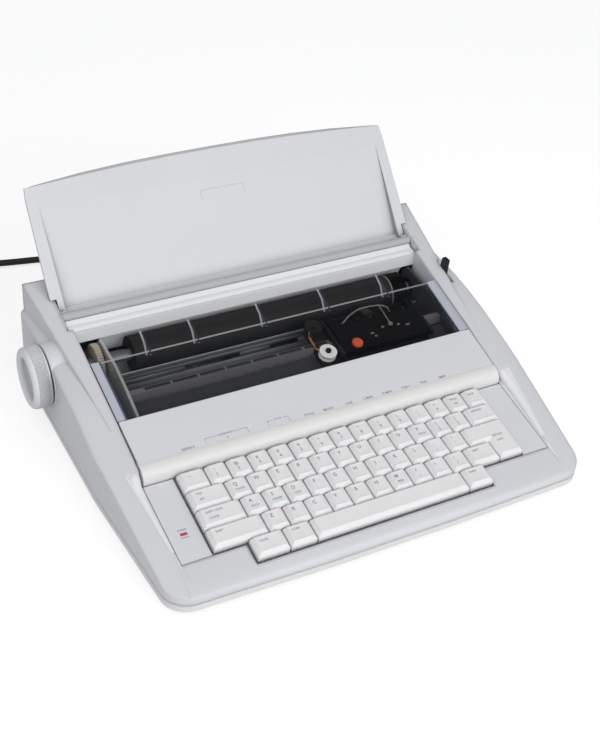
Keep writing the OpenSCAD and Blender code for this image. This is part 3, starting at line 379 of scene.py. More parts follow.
# Cord: from the gland to the floor, round to the left and into a flat coil of two layers
CORD_RADIUS = 3.25
LEAD = [(-70, 194, 22), (-70, 208, 21.2), (-70, 220, 18.6), (-70, 232, 14.4), (-70, 244, 9.4),
        (-70, 256, 4.8), (-70, 268, 1.6), (-70, 282, -0.15), (-71, 296, -0.15), (-75, 310, -0.15),
        (-83, 324, -0.15), (-95, 336, -0.15), (-109, 344, -0.15), (-125, 348.4, -0.15),
        (-142, 351.6, -0.15), (-159, 355, -0.15), (-180, 360, -0.15), (-200, 365, 0.15),
        (-220, 368.8, 0.75)]
COIL_X, COIL_Y, COIL_Z = -240, 322, 1.25
COIL_OUTER, COIL_INNER, COIL_PITCH = 48, 27, 7
TURN = 24
COIL_IN, COIL_CLIMBED, COIL_END = 72, 84, 150
PLUG_RUN = (8, 16)


def cord_points():
    points = list(LEAD)
    for i in range(COIL_END + 1):
        climb = pi * (i - COIL_IN) / (COIL_CLIMBED - COIL_IN)
        if i <= COIL_IN:
            r, lift = COIL_OUTER - COIL_PITCH * i / TURN, 0
        elif i <= COIL_CLIMBED:
            r = COIL_INNER - COIL_PITCH / 4 * sin(climb)
            lift = COIL_PITCH / 2 * (1 - cos(climb))
        else:
            r, lift = COIL_INNER + COIL_PITCH * (i - COIL_CLIMBED) / TURN, COIL_PITCH
        t = pi / 2 + 2 * pi * i / TURN
        points.append((COIL_X + r * cos(t), COIL_Y + r * sin(t), COIL_Z + lift))
    x, y, z = points[-1]
    return points + [(x, y - run, z) for run in PLUG_RUN]


curve = bpy.data.curves.new("mains_cord", "CURVE")
curve.dimensions = "3D"
curve.bevel_depth = CORD_RADIUS * MM
curve.bevel_resolution = 4
curve.resolution_u = 4
curve.use_fill_caps = True
spline = curve.splines.new("BEZIER")
route = cord_points()
spline.bezier_points.add(len(route) - 1)
for point, p in zip(spline.bezier_points, route):
    point.co = Vector(p) * MM
    point.handle_left_type = point.handle_right_type = "AUTO"
curve.materials.append(CORD)
mains_cord = bpy.data.objects.new("mains_cord", curve)
scene.collection.objects.link(mains_cord)
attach(mains_cord, "chassis")
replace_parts(mains_cord, "cord_run", "cord_coil")
plug = skin("plug", BLACK, bevel=0.8, segments=3)
tie = skin("cord_tie", RUBBER, bevel=0.25)

# Window: pane, end rails and the fins that hold the paper; the rear end of the pane and the feet of the
# fins are painted near-white as highlight
FIN_X = (-117.5, -72.5, -6.5, 57, 119.5)
FIN_FROM, FIN_HALF, FIN_FOOT = 58, 1.6, -3.2
RAIL_FROM, PANE_END = 161.5, 62
WINDOW = [CLEAR, CLEAR_RAIL, CLEAR_EDGE, CLEAR_PAINTED_LIGHT, CLEAR_FIN, CLEAR_SIDE]
RAIL, RAIL_EDGE, PAINTED_LIT, FIN, FIN_SIDE = range(1, len(WINDOW))


def window_faces(bm):
    # Feet of the fins and the rear end of the pane take the near-white copy: painted highlight
    for f, c, d in faces_in(bm, TOP):
        if c.y > FIN_FROM and min(abs(c.x - x) for x in FIN_X) < FIN_HALF:
            f.material_index = FIN_SIDE if abs(d.x) > 0.9 else FIN if c.z > FIN_FOOT else PAINTED_LIT
        elif abs(c.x) > RAIL_FROM:
            blue = abs(d.x) > 0.3 and (c.x < 0 or d.x > 0)
            f.material_index = RAIL_EDGE if blue else RAIL
        elif d.y > 0.9 and c.y > PANE_END:
            f.material_index = PAINTED_LIT


# Housing: the side walls taper, and the rear bar, the wall behind the platen and the folds by the key
# field take a lighter copy of the case plastic as painted light
BOSS_X, BOSS_FROM, BOSS_TO, BOSS_TOP = 198.5, -62, -56, 30
WALL_X, WALL_TAPER, WALL_SLANT = 201.26, 0.059, 0.998
ROD_Y, ROD_Z, ROD_RADIUS, ROD_END = 110.5, 77.4, 8, 175
REAR_END, REAR_Y, REAR_Z = 172, (98, 118), (40, 84)
FOLD_TO = -45


def housing_faces(bm):
    # The screw bosses at the sides are brought flush with the side walls
    for v in bm.verts:
        x, y, z = v.co / MM
        if abs(abs(x) - BOSS_X) < 0.05 and BOSS_FROM < y < BOSS_TO and z < BOSS_TOP:
            v.co.x = copysign((WALL_X + WALL_TAPER * y) / WALL_SLANT, x) * MM
    # Rear bar, wall behind the platen and folds take the lighter copy: painted light
    for f, c, d in faces_in(bm, FLAT):
        rod = abs(c.x) < ROD_END and hypot(c.y - ROD_Y, c.z - ROD_Z) < ROD_RADIUS
        near = abs(c.x) < REAR_END and REAR_Y[0] < c.y < REAR_Y[1] and REAR_Z[0] < c.z < REAR_Z[1]
        wall = near and d.y < -0.3
        fold = d.z > 0.7 and d.x * c.x < 0 and abs(d.x) > 0.5 and c.y < FOLD_TO
        f.material_index = 1 if rod or wall or fold else 0


LIP_Y, LIP_Z, LIP_RADIUS = -42, 42.33, 10.6


def lip_faces(bm):
    # Faces of the lip take the lighter copy: painted highlight
    for f, c, d in faces_in(bm, FLAT):
        f.material_index = 1 if hypot(c.y - LIP_Y, c.z - LIP_Z) < LIP_RADIUS else 0


# Lid: an arched top edge, chamfered to the back, and sharper corners; the ledge, the barrel and the
# faces of the top edge take darker copies of the lid plastic as painted shade
LID_HALF, LID_TIP, LID_CORNER = 168, 104, 110
BACK_FACE = -6
FRONT_ARCH, BACK_ARCH = (116.4, 5.6, 2), (117.6, 7.2, 2.6)
CORNER_DRAW, FLANGE_DRAW = (1.017, 2.2), (1.007, 1)
LEDGE_END, BARREL_RADIUS, RIM_FROM = 7.5, 4.3, 112
ON_LEDGE, ON_RIM, ON_BARREL = 1, 2, 3


def lid_faces(bm):
    back = LID.inverted()
    for v in bm.verts:
        x, s, n = back @ (v.co / MM)
        if s < LID_TIP:
            continue
        u = abs(x) / LID_HALF
        if u < 1.01:
            ends, rise, power = BACK_ARCH if n < BACK_FACE else FRONT_ARCH
            s = ends + rise * (1 - min(1, u) ** power)
        else:
            wider, longer = CORNER_DRAW if s > LID_CORNER else FLANGE_DRAW
            x, s = x * wider, s + longer
        v.co = LID @ Vector((x, s, n)) * MM
    # Ledge, barrel and faces of the top edge take the darker copies: painted shade
    for f, c, d in faces_in(bm, LID):
        if c.y < LEDGE_END and abs(c.x) < LID_HALF:
            f.material_index = ON_BARREL if hypot(c.y, c.z) < BARREL_RADIUS else ON_LEDGE
        elif c.y > RIM_FROM and d.y > 0.3:
            f.material_index = ON_RIM


skin("upper_housing", [CASE, PAINTED_LIGHT], edit=housing_faces)
skin("base_pan", PAN)
bezel = skin("keyboard_bezel", BEZEL)
cover = skin("top_cover", [PALE_AND_PAINTED_LIGHT, LIP_HIGHLIGHT], edit=lip_faces)
lid = skin("paper_support", [LID_CASE, LEDGE_SHADE, RIM_SHADE, FOOT_SHADE], edit=lid_faces)
skin("window", WINDOW, edit=window_faces)

# Strip that closes the slot between the rear bar and the barrel of the lid, in the lighter copy of the
# case plastic: painted light
STRIP = ((110.5, 83.9), (113.8, 85.4), (116.4, 87.6), (117.2, 87.1), (116.9, 85.6), (115.8, 82.4),
         (110.5, 82.4))
STRIP_X = (-173.8, -82, 0, 82, 173.8)
bm = bmesh.new()
loft(bm, [[Vector((x, y, z)) * MM for y, z in STRIP] for x in STRIP_X])
trim("hinge_strip", bm, PAINTED_LIGHT, "chassis", sharp=40)

# Cheeks beside the neck of the lid, up to the plane of the case
CHEEK_X, CHEEK_FRONT, CHEEK_BACK = (175.7, 177.1), 106, 149.9
CHEEK_FOOT, CHEEK_TOP = 82.9, 63.4
cheek = [(y, CHEEK_FOOT) for y in (CHEEK_FRONT, CHEEK_BACK)]
cheek += [(y, CHEEK_TOP + (y - TOP_Y) * tan(radians(TOP_SLOPE))) for y in (CHEEK_BACK, CHEEK_FRONT)]
bm = bmesh.new()
for side in (-1, 1):
    loft(bm, [[Vector((side * x, y, z)) * MM for y, z in cheek] for x in CHEEK_X])
trim("hinge_cheeks", bm, CASE, "chassis", sharp=30)


def platen_ring(x, radius, steps, cut=0):
    # Ring about the axis of the platen, with every other point cut in for a knurl
    ring = []
    for k in range(steps):
        r, t = radius - cut * (k % 2), 2 * pi * k / steps
        ring.append(Vector((x, PLATEN_Y + r * cos(t), PLATEN_Z + r * sin(t))) * MM)
    return ring


# Ring that makes the boss behind the knob stand out of the shoulder, in the paler plastic as painted
# light
KNOB_BOSS = ((-182.4, 24), (-182.4, 26.9), (-182.9, 27.3), (-200.4, 27.3), (-201.1, 26.6), (-201.1, 24))
bm = bmesh.new()
loft(bm, [platen_ring(x, r, steps=96) for x, r in KNOB_BOSS])
trim("knob_boss", bm, PALE_AND_PAINTED_LIGHT, "chassis", sharp=50)

# Rolls along the key field, from the ends of the lip to the front corners: places and radii. Their rear
# parts take the lighter copy of the case plastic as painted highlight.
ROLL = ((176.4, -42.6, 47.6, 1.2), (176.6, -44.5, 47.2, 3.7), (177.2, -48.5, 45, 4.7),
        (178, -55, 41.9, 4.2), (177.9, -68, 38.6, 3.6), (177.3, -82, 35.4, 3.3),
        (176.2, -100, 31.2, 3), (175.6, -118, 27, 2.75), (175.6, -136, 22.9, 2.5),
        (176.4, -150, 19.4, 2.2), (177, -157, 17.6, 1.9))
ROLL_LIGHT_TO = -118
bm = bmesh.new()
for side in (-1, 1):
    path = [(side * x, y, z) for x, y, z, r in ROLL]
    sweep(bm, path, [r for x, y, z, r in ROLL], FLAT, steps=32)
trim("shoulder_rolls", bm, [PAINTED_LIGHT, CASE], "chassis", sharp=60,
     second=lambda c, d: c.y < ROLL_LIGHT_TO)

# Knob with a knurled rim and a sunk face, the sunk face painted darker as shade: radius, distance from
# its inner face and depth of knurl
KNOB_X, KNURLS = -202, 90
KNOB_PROFILE = ((5.1, 0, 0), (25.6, 0, 0), (26.8, 0.7, 0), (27, 1.8, 0), (27, 2.4, 0.8),
                (27, 11.6, 0.8), (27, 12.2, 0), (26.6, 13.9, 0), (25.6, 15.3, 0), (24, 16.2, 0),
                (22.2, 16.4, 0), (20.4, 15.9, 0), (19, 14.8, 0), (18.2, 13.2, 0), (17.7, 11.7, 0),
                (16.6, 11.2, 0), (0.5, 11.2, 0))
SUNK_X, SUNK_RADIUS = -214.4, 18.4


# Faces of the sunk face, which take the darker copy as painted shade
def in_sunk_face(c, d):
    return c.x > SUNK_X and hypot(c.y - PLATEN_Y, c.z - PLATEN_Z) < SUNK_RADIUS and d.x < 0.1


bm = bmesh.new()
loft(bm, [platen_ring(KNOB_X - x, r, 2 * KNURLS, cut) for r, x, cut in KNOB_PROFILE])
knob = trim("platen_knob_skin", bm, [KNOB, SUNK_SHADE], BODY["platen_knob"], sharp=28, second=in_sunk_face)
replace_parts(knob, "platen_knob")
skin("release_lever", BLACK, bevel=0.6)
skin("power_lamp", RED, bevel=0.3)
skin("rubber_feet", RUBBER, bevel=0.6)
skin("cord_gland", BLACK, bevel=0.3)

# Mechanism
BUTTON_FROM = -6.4
SPOOL_X, SPOOL_Y, SPOOL_SPLIT = 37, 22, 37
REEL_FROM, REEL_TO = 5.2, 6
CAN_TOP, CAN_DROP = 17, 0.4


def cassette_faces(bm):
    for f, c, d in faces_in(bm, TOP):
        f.material_index = 1 if c.z > BUTTON_FROM else 0


def spool_faces(bm):
    for f, c, d in faces_in(bm, TOP):
        tape = REEL_FROM < hypot(c.x - SPOOL_X, c.y - SPOOL_Y) < REEL_TO and abs(d.z) < 0.5
        f.material_index = 1 if c.y > SPOOL_SPLIT else 2 if tape else 0


def lower_can(bm):
    # The can's flat top lies level with the underside of the carriage, so its skin is lower
    for v in bm.verts:
        if abs(v.co.z / MM - CAN_TOP) < 0.01:
            v.co.z -= CAN_DROP * MM


skin("carriage_motor", MOTOR, edit=lower_can)
skin("ribbon_cassette", [CASSETTE, ORANGE], bevel=0.25, edit=cassette_faces)
skin("correction_spools", [WHITE, BLACK, AMBER], edit=spool_faces)
scale = skin("line_scale", GREY)
TOOTHED = ("platen_gear", "idler_gear", "motor_pinion", "daisy_wheel")
PLAIN = {
    "case_screws": STEEL, "left_side_frame": FRAME, "right_side_frame": DARK,
    "carriage_shaft": STEEL, "well_tray": DARK, "paper_pan": SHEET, "platen_bushes": BLACK,
    "line_feed_motor": MOTOR, "drive_belt": RUBBER, "main_board": PLATE, "transformer": IRON,
    "keyboard_plate": BEZEL, "key_circuit": BOARD, "lid_hinge_pins": STEEL,
    "platen_roller": RUBBER, "platen_shaft": AXLE, "platen_gear": BEIGE, "idler_gear": BEIGE,
    "motor_pinion": BRASS, "feed_rollers": RUBBER, "feed_shaft": STEEL, "carriage_frame": BLACK,
    "wheel_motor": MOTOR, "hammer_coil": BLACK, "daisy_wheel": BLACK, "hammer_pin": STEEL,
    "drive_pulley": NYLON, "idler_pulley": NYLON,
}
for node, mat in PLAIN.items():
    skin(node, mat, bevel=0 if node in TOOTHED else 0.25)

# Apron below the platen, with two windows
APRON_X0, APRON_X1, APRON_Y = -147.2, 162.7, (79.4, 80.2)
APRON = ((APRON_X0, APRON_X1, 20, 32.5), (APRON_X0, APRON_X1, 38, 41.6), (APRON_X0, -78, 32.5, 38),
         (-23, 7, 32.5, 38), (37, APRON_X1, 32.5, 38))
bm = bmesh.new()
for x0, x1, z0, z1 in APRON:
    box(bm, x0, x1, *APRON_Y, z0, z1)
to_object("pan_apron", bm, PLATE, "chassis")

# Collar at the right end of the platen
COLLAR_BORE, COLLAR_RADIUS = 14, 16.14
AXIS = Matrix.Translation((0, PLATEN_Y, PLATEN_Z)) @ Matrix.Rotation(pi / 2, 4, "Y")
bm = bmesh.new()
for mat, (x0, x1) in enumerate(((136, 137.6), (137.6, 152.8))):
    section = [(COLLAR_BORE, x0), (COLLAR_RADIUS, x0), (COLLAR_RADIUS, x1), (COLLAR_BORE, x1)]
    turned(bm, section, AXIS, steps=96, mat=mat)
trim("platen_collar", bm, [GREY, CASSETTE], "platen", sharp=40)

# Wire ribbon guide on the cassette, with a feeler and small marks
GUIDE = ((61, 45.4, -16.3), (61.6, 45.6, -12), (63.6, 46.4, -8.4), (67.4, 48.4, -6.8),
         (72, 51.2, -6.6), (78, 54, -6.6), (84, 56, -6.6), (91, 56.8, -6.6), (98, 56.5, -6.6),
         (106, 55.4, -6.6), (111, 53.8, -7), (114.6, 51.6, -8.6), (116.4, 49.4, -12), (117, 48, -16.3))
FEELER = ((106, 55.4, -6.4), (105.9, 45, -5.8), (105.6, 32, -5.8))
FEELER_END = TOP @ Matrix.Translation((105.6, 31.5, -6.5))
FEELER_TIP = ((2.1, 0), (2.3, 0.6), (2.1, 1.5), (1.2, 1.9), (0.2, 2))
MARK_HALF, MARK_Z = 0.8, (-6.6, -6)
MARKS = ((84, 26.5, 3.4), (86, 22.6, 2.2), (97, 30.4, 3), (113, 29, 2.4), (121.5, 26.4, 4.2))
bm = bmesh.new()
for wire, radius in ((GUIDE, 0.7), (FEELER, 0.6)):
    sweep(bm, wire, [radius] * len(wire), TOP, steps=10)
turned(bm, FEELER_TIP, FEELER_END, steps=32)
for x, y, width in MARKS:
    box(bm, x - width / 2, x + width / 2, y - MARK_HALF, y + MARK_HALF, *MARK_Z, TOP)
trim("ribbon_guide", bm, BONE, "carriage", sharp=40)

# Correction tape between the spools, round two posts
TAPE = ((31.6, 23.4), (28.4, 30), (28.3, 36.5), (28.4, 43), (31.6, 50.6))
TAPE_HALF, TAPE_EDGES = 0.18, (-12.9, -10.3)
POST_X, POST_FOOT, POST_Y = 29.8, -16.4, (30, 43)
POST = ((1.25, 0), (1.25, 6.2), (1.8, 6.3), (1.8, 7), (1.2, 7.4), (0.2, 7.5))
bm = bmesh.new()
for a, b in zip(TAPE, TAPE[1:]):
    across = Vector((b[1] - a[1], a[0] - b[0])).normalized() * TAPE_HALF
    corners = [Vector(q) + across * k for q, k in ((a, -1), (b, -1), (b, 1), (a, 1))]
    loft(bm, [[TOP @ Vector((q.x, q.y, z)) * MM for q in corners] for z in TAPE_EDGES])
for y in POST_Y:
    turned(bm, POST, TOP @ Matrix.Translation((POST_X, y, POST_FOOT)), steps=32, mat=1)
trim("correction_tape", bm, [AMBER, BLACK], "carriage", sharp=40)

# Keys: tops set back from the sides, the back and the front, on stems
PITCH = 19.05
KEY_X = -15.25 * PITCH / 2
KEY_GAP = 0.45
TOP_SIDE, TOP_BACK, TOP_FRONT = 3, 1.35, 2.6
CAP_LOW, CAP_HIGH = -1.5, 8.28
STEM_LOW, STEM_HALF = -12.5, 2.2
CAP_PROFILE = ((CAP_LOW, 0, 0, 0, 0.6), (4.3, 0.12, 0.12, 0.15, 0.7), (4.9, 0.22, 0.18, 0.25, 0.7),
               (5.2, 0.45, 0.3, 0.42, 0.75), (7.7, 2.75, 1.05, 2.3, 0.9),
               (8.05, 3.1, 1.3, 2.65, 0.95), (8.2, 3.5, 1.65, 3.05, 0.95))
DISH_RINGS = ((1.2, 0.9), (2.4, 0.8), (4.2, 0.6))
DISH_SHIFT, DISH_ACROSS, DISH_ALONG, DISH_FLAT = 0.62, 0.85, 0.15, 0.3


def fillet(points, r, n=5):
    out = []
    for i, p in enumerate(points):
        p, a, b = Vector(p), Vector(points[i - 1]), Vector(points[(i + 1) % len(points)])
        u, v = (a - p).normalized(), (b - p).normalized()
        for k in range(n):
            t = pi / 2 * k / (n - 1)
            out.append(p + (u + v) * r - (v * cos(t) + u * sin(t)) * r)
    return out


def plain_key(x, y, w, d):
    # The outline of a key for given insets, and the middle and half sizes of its hollow
    def shape(side, back, front, r):
        x0, x1 = x - w / 2 + side, x + w / 2 - side
        y0, y1 = y - d / 2 + front, y + d / 2 - back
        return fillet([(x1, y1), (x0, y1), (x0, y0), (x1, y0)], r)
    return shape, (x, y + DISH_SHIFT, w / 2 - TOP_SIDE, (d - TOP_BACK - TOP_FRONT) / 2)


def corner_key(x0, xm, x1, y0, ym, y1):
    def shape(side, back, front, r):
        return fillet([(x1 - side, y1 - back), (x0 + side, y1 - back), (x0 + side, ym + front),
                       (xm + side, ym + front), (xm + side, y0 + front), (x1 - side, y0 + front)], r)
    return shape, None


def dish(p, hollow):
    if not hollow:
        return DISH_FLAT
    x, y, half_w, half_d = hollow
    u, v = min(1, abs(p.x - x) / half_w), min(1, abs(p.y - y) / half_d)
    return DISH_ACROSS * (1 - u * u) + DISH_ALONG * (1 - v * v)


def keycap(bm, key):
    shape, hollow = key
    rings = [[KEYS @ Vector((q.x, q.y, z)) * MM for q in shape(side, back, front, r)]
             for z, side, back, front, r in CAP_PROFILE]
    for inset, r in DISH_RINGS:
        top = shape(TOP_SIDE + inset, TOP_BACK + inset, TOP_FRONT + inset, r)
        rings.append([KEYS @ Vector((q.x, q.y, CAP_HIGH - dish(q, hollow))) * MM for q in top])
    loft(bm, rings)


# Each key by its left edge, its row and its width, in pitches
ROWS = {
    "row1_keys": [(0, 0, 1.25)] + [(1.25 + i, 0, 1) for i in range(14)],
    "row2_keys": [(1.75 + i, 1, 1) for i in range(12)] + [(13.75, 1, 1.5)],
    "row3_keys": [(2 + i, 2, 1) for i in range(11)],
    "row4_keys": [(2.5 + i, 3, 1) for i in range(10)],
    "row5_keys": [(1.5, 4, 1.5), (3, 4, 1.25), (11.75, 4, 1.25)],
    "tab_key": [(0, 1, 1.75)], "lock_key": [(0, 2, 2)], "left_shift_key": [(0, 3, 2.5)],
    "right_shift_key": [(12.5, 3, 1.5)], "return_key": [(13, 2, 2.25)],
    "space_bar": [(4.25, 4, 7.5)],
}
RETURN_KEY = corner_key(KEY_X + 13 * PITCH + KEY_GAP, KEY_X + 14 * PITCH + KEY_GAP, -KEY_X - KEY_GAP,
                        -4 * PITCH + KEY_GAP, -3 * PITCH + KEY_GAP, -2 * PITCH - KEY_GAP)


def key_middle(u, v, w):
    return KEY_X + (u + w / 2) * PITCH, -(v + 0.5) * PITCH


caps = {}
for node, keys in ROWS.items():
    bm = bmesh.new()
    for u, v, w in keys:
        x, y = key_middle(u, v, w)
        plain = plain_key(x, y, w * PITCH - 2 * KEY_GAP, PITCH - 2 * KEY_GAP)
        keycap(bm, RETURN_KEY if node == "return_key" else plain)
        box(bm, x - STEM_HALF, x + STEM_HALF, y - STEM_HALF, y + STEM_HALF, STEM_LOW, CAP_LOW, KEYS)
    caps[node] = to_object(node + "_caps", bm, CAP, BODY[node])
    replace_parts(caps[node], node)

# Lettering laid on a surface
RAY_FROM, RAISED = 30, 0.06
BOLDER = 0.016


def letters(text, size, align="CENTER"):
    # Points and faces of a word set flat
    font = bpy.data.curves.new("letters", "FONT")
    font.body, font.size = text, size
    font.align_x, font.align_y = align, "CENTER"
    font.resolution_u = 2
    font.offset = BOLDER * size
    obj = bpy.data.objects.new("letters", font)
    flat = bpy.data.meshes.new_from_object(obj)
    shape = [v.co.to_2d() for v in flat.vertices], [tuple(q.vertices) for q in flat.polygons]
    bpy.data.objects.remove(obj)
    bpy.data.curves.remove(font)
    bpy.data.meshes.remove(flat)
    return shape


def bar(x0, x1, y0, y1):
    return [Vector(p) for p in ((x0, y0), (x1, y0), (x1, y1), (x0, y1))], [(0, 1, 2, 3)]


def lay(bm, tree, at, shape, x=0, y=0, mat=0):
    # Each point is dropped along the frame's Z onto the surface; a shape that misses is left out
    down = (at.to_3x3() @ Vector((0, 0, -1))).normalized()
    found = []
    for v in shape[0]:
        spot = tree.ray_cast(at @ Vector((x + v.x, y + v.y, RAY_FROM)) * MM, down)[0]
        if spot is None:
            return
        found.append(bm.verts.new(spot - down * RAISED * MM))
    for f in shape[1]:
        bm.faces.new([found[i] for i in f]).material_index = mat


def surface_of(obj):
    return BVHTree.FromObject(obj, bpy.context.evaluated_depsgraph_get())


# Signs of the key tops, the upper one first, and words with their offset and ink
SIGNS = {
    "row1_keys": ["~`", "!1", "@2", "#3", "$4", "%5", "^6", "&7", "*8", "(9", ")0", "_-", "+="],
    "row2_keys": list("QWERTYUIOP") + ["{[", "}]"],
    "row3_keys": list("ASDFGHJKL") + [":;", "\"'"],
    "row4_keys": list("ZXCVBNM") + ["<,", ">.", "?/"],
}
WORDS = {
    "row1_keys": {13: (("INDEX", -5.4, 3.6, 0), ("REV", -3.2, -1.4, 1)),
                  14: (("BACK", -5.4, 3.6, 0),)},
    "row2_keys": {0: (("CENTR", -4.6, -2.2, 1),), 9: (("PITCH", -4.2, -2.2, 1),),
                  12: (("MARGIN", -8, 4.4, 0),)},
    "row3_keys": {0: (("BOLD", -4.2, -2.2, 1),), 1: (("UNDER", -4.8, -2.2, 1),),
                  2: (("CAPS", -4.2, -2.2, 1),)},
    "row4_keys": {6: (("MEM", -3.8, -2.2, 1),)},
    "row5_keys": {0: (("CODE", -8, 3.4, 1),), 1: (("CORR", -6, 4.2, 0),),
                  2: (("PAPER", -6.2, 4.2, 0),)},
    "tab_key": {0: (("TAB", -10, 4, 0), ("SET", -8.6, -1.6, 1))},
    "lock_key": {0: (("SHIFT LOCK", -12.4, 4, 0), ("CLEAR", -11, -1.6, 1))},
    "left_shift_key": {0: (("SHIFT", -17, 4, 0),)},
    "right_shift_key": {0: (("SHIFT", -7.6, 4, 0),)},
    "return_key": {0: (("RETURN", 2, -6.6, 0), ("EXPR", 3.4, -12.2, 1))},
}
LETTER_SIZE, UPPER_SIZE, LOWER_SIZE, WORD_SIZE = 4.8, 3.9, 4.2, 2.7
UPPER_X, UPPER_Y, LOWER_X, LOWER_Y = -2.4, 3.2, -1.8, -1.8
for node in sorted(set(SIGNS) | set(WORDS)):
    bm = bmesh.new()
    tree = surface_of(caps[node])
    signs = SIGNS.get(node, [])
    for i, key in enumerate(ROWS[node]):
        x, y = key_middle(*key)
        if i < len(signs):
            upper, lower = signs[i][0], signs[i][1:]
            size = UPPER_SIZE if lower else LETTER_SIZE
            lay(bm, tree, KEYS, letters(upper, size), x + UPPER_X, y + UPPER_Y)
            if lower:
                lay(bm, tree, KEYS, letters(lower, LOWER_SIZE), x + LOWER_X, y + LOWER_Y)
        for text, dx, dy, mat in WORDS.get(node, {}).get(i, ()):
            lay(bm, tree, KEYS, letters(text, WORD_SIZE, "LEFT"), x + dx, y + dy, mat)
    to_object(node + "_signs", bm, [INK, TEAL], BODY[node])

# Words of the panel, and two brackets with a word in each
PANEL_WORDS = (("REPEAT", -127), ("PITCH", -16.5), ("MODE", 2), ("LINE", 22), ("L MAR", 41),
               ("R MAR", 60), ("TAB +", 79), ("TAB -", 98), ("IMPR", 117))
BRACKETS = ((-111, -73, "KEYBOARD", 7), (-54, -35, "STYLE", 4.6))
PANEL_LINE, STOP_LINE, BRACKET_LINE = -42.4, -42, -37.9
BRACKET_TOP, BRACKET_EDGE, BRACKET_FOOT, STROKE_HALF = -37.7, -38.1, -40, 0.25
THIRD_STOP = -92
PANEL_SIZE, BRACKET_SIZE, STOP_SIZE = 3.4, 2.5, 2.4
bm = bmesh.new()
tree = surface_of(cover)
for text, x in PANEL_WORDS:
    lay(bm, tree, TOP, letters(text, PANEL_SIZE), x, PANEL_LINE)
for x0, x1, word, half in BRACKETS:
    middle = (x0 + x1) / 2
    lay(bm, tree, TOP, letters(word, BRACKET_SIZE), middle, BRACKET_LINE)
    for a, b in ((x0, middle - half), (middle + half, x1)):
        lay(bm, tree, TOP, bar(a, b, BRACKET_EDGE, BRACKET_TOP))
    for x, stop in ((x0, "I"), (x1, "II")):
        lay(bm, tree, TOP, bar(x - STROKE_HALF, x + STROKE_HALF, BRACKET_FOOT, BRACKET_TOP))
        lay(bm, tree, TOP, letters(stop, STOP_SIZE), x, STOP_LINE)
lay(bm, tree, TOP, letters("III", STOP_SIZE), THIRD_STOP, STOP_LINE)
to_object("panel_signs", bm, INK, BODY["top_cover"])

# Word and line at the lamp
LAMP_X, LAMP_Y = KEY_X - 14, -2.68 * PITCH
LAMP_SIZE, LAMP_WORD, LAMP_LINE, LAMP_HALF = 2.2, 4, (-3.6, -3), 3.4
bm = bmesh.new()
tree = surface_of(bezel)
lay(bm, tree, KEYS, letters("POWER", LAMP_SIZE), LAMP_X, LAMP_Y + LAMP_WORD)
lay(bm, tree, KEYS, bar(-LAMP_HALF, LAMP_HALF, *LAMP_LINE), LAMP_X, LAMP_Y)
to_object("lamp_signs", bm, INK, BODY["keyboard_bezel"])

# Faint paper mark on the lid
PAPER_MARK = ((-20, 23, 85.7, 86.1), (-20, -19.6, 78, 85.7), (22.6, 23, 78, 85.7))
bm = bmesh.new()
tree = surface_of(lid)
for sides in PAPER_MARK:
    lay(bm, tree, LID, bar(*sides))
to_object("lid_signs", bm, FAINT, BODY["paper_support"])

# Printed line scale, an inch to each run of marks
SCALE = tilt(0, 58, 0)
INCH, RUNS, SCALE_X = 25.4, 11, -132.3
TEETH, TOOTH, TOOTH_WIDTH = 10, 2.4, 1.2
RUN_LENGTH, RUN_Y, TOOTH_Y = 23, (38.6, 41.4), (36.8, 38.6)
bm = bmesh.new()
tree = surface_of(scale)
for i in range(RUNS):
    x0 = SCALE_X + INCH * i
    lay(bm, tree, SCALE, bar(x0, x0 + RUN_LENGTH, *RUN_Y))
    for k in range(TEETH):
        lay(bm, tree, SCALE, bar(x0 + TOOTH * k, x0 + TOOTH * k + TOOTH_WIDTH, *TOOTH_Y))
to_object("scale_marks", bm, BLACK, BODY["line_scale"])

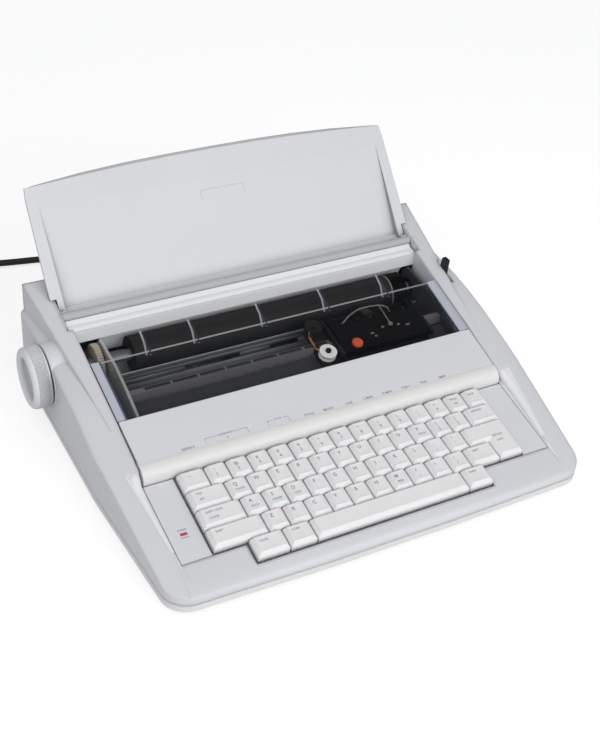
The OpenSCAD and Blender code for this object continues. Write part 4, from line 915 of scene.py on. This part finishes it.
# Floor: brighter to the camera than to the part
FLOOR_HALF, FLOOR_Z = 4000, -3.55
bm = bmesh.new()
for x, y in ((-1, -1), (1, -1), (1, 1), (-1, 1)):
    bm.verts.new((x * FLOOR_HALF * MM, y * FLOOR_HALF * MM, FLOOR_Z * MM))
bm.faces.new(bm.verts)
mesh = bpy.data.meshes.new("floor")
bm.to_mesh(mesh)
bm.free()
floor = bpy.data.objects.new("floor", mesh)
scene.collection.objects.link(floor)
white = bpy.data.materials.new("floor_white")
n = Nodes(white)
paint = n.add("ShaderNodeBsdfDiffuse", Color=(0.8, 0.8, 0.8, 1))
dim = n.add("ShaderNodeBsdfDiffuse", Color=(0.42, 0.42, 0.42, 1))
glow = n.add("ShaderNodeEmission", Color=(1, 1, 1, 1), Strength=0.68)
both = n.add("ShaderNodeAddShader")
n.join(dim.outputs[0], both.inputs[0])
n.join(glow.outputs[0], both.inputs[1])
ray = n.add("ShaderNodeLightPath")
n.surface(n.blend(ray.outputs["Is Camera Ray"], paint, both))
mesh.materials.append(white)

# World: white to the camera, softer to the part and dimmer in its reflections
world = bpy.data.worlds.new("studio")
scene.world = world
n = Nodes(world, "ShaderNodeOutputWorld")
soft = n.add("ShaderNodeBackground", Color=(0.98, 0.99, 1.0, 1), Strength=0.5)
plain = n.add("ShaderNodeBackground", Color=(1, 1, 1, 1), Strength=1.0)
dull = n.add("ShaderNodeBackground", Color=(0.96, 0.98, 1.0, 1), Strength=0.3)
ray = n.add("ShaderNodeLightPath")
seen = n.blend(ray.outputs["Is Camera Ray"], soft, plain)
n.surface(n.blend(ray.outputs["Is Glossy Ray"], seen, dull))


def softbox(name, at, size, power):
    # A rectangular light in metres and watts, turned to the origin
    light = bpy.data.lights.new(name, "AREA")
    light.shape = "RECTANGLE"
    light.size, light.size_y = size
    light.energy = power
    obj = bpy.data.objects.new(name, light)
    obj.location = at
    obj.rotation_euler = (-Vector(at)).to_track_quat("-Z", "Y").to_euler()
    scene.collection.objects.link(obj)


softbox("front", (0.35, -1.9, 1.15), (1.9, 1.3), 25)
softbox("left", (-1.1, -0.7, 1.7), (1.2, 1.2), 9.5)
scene.view_settings.view_transform = "Standard"
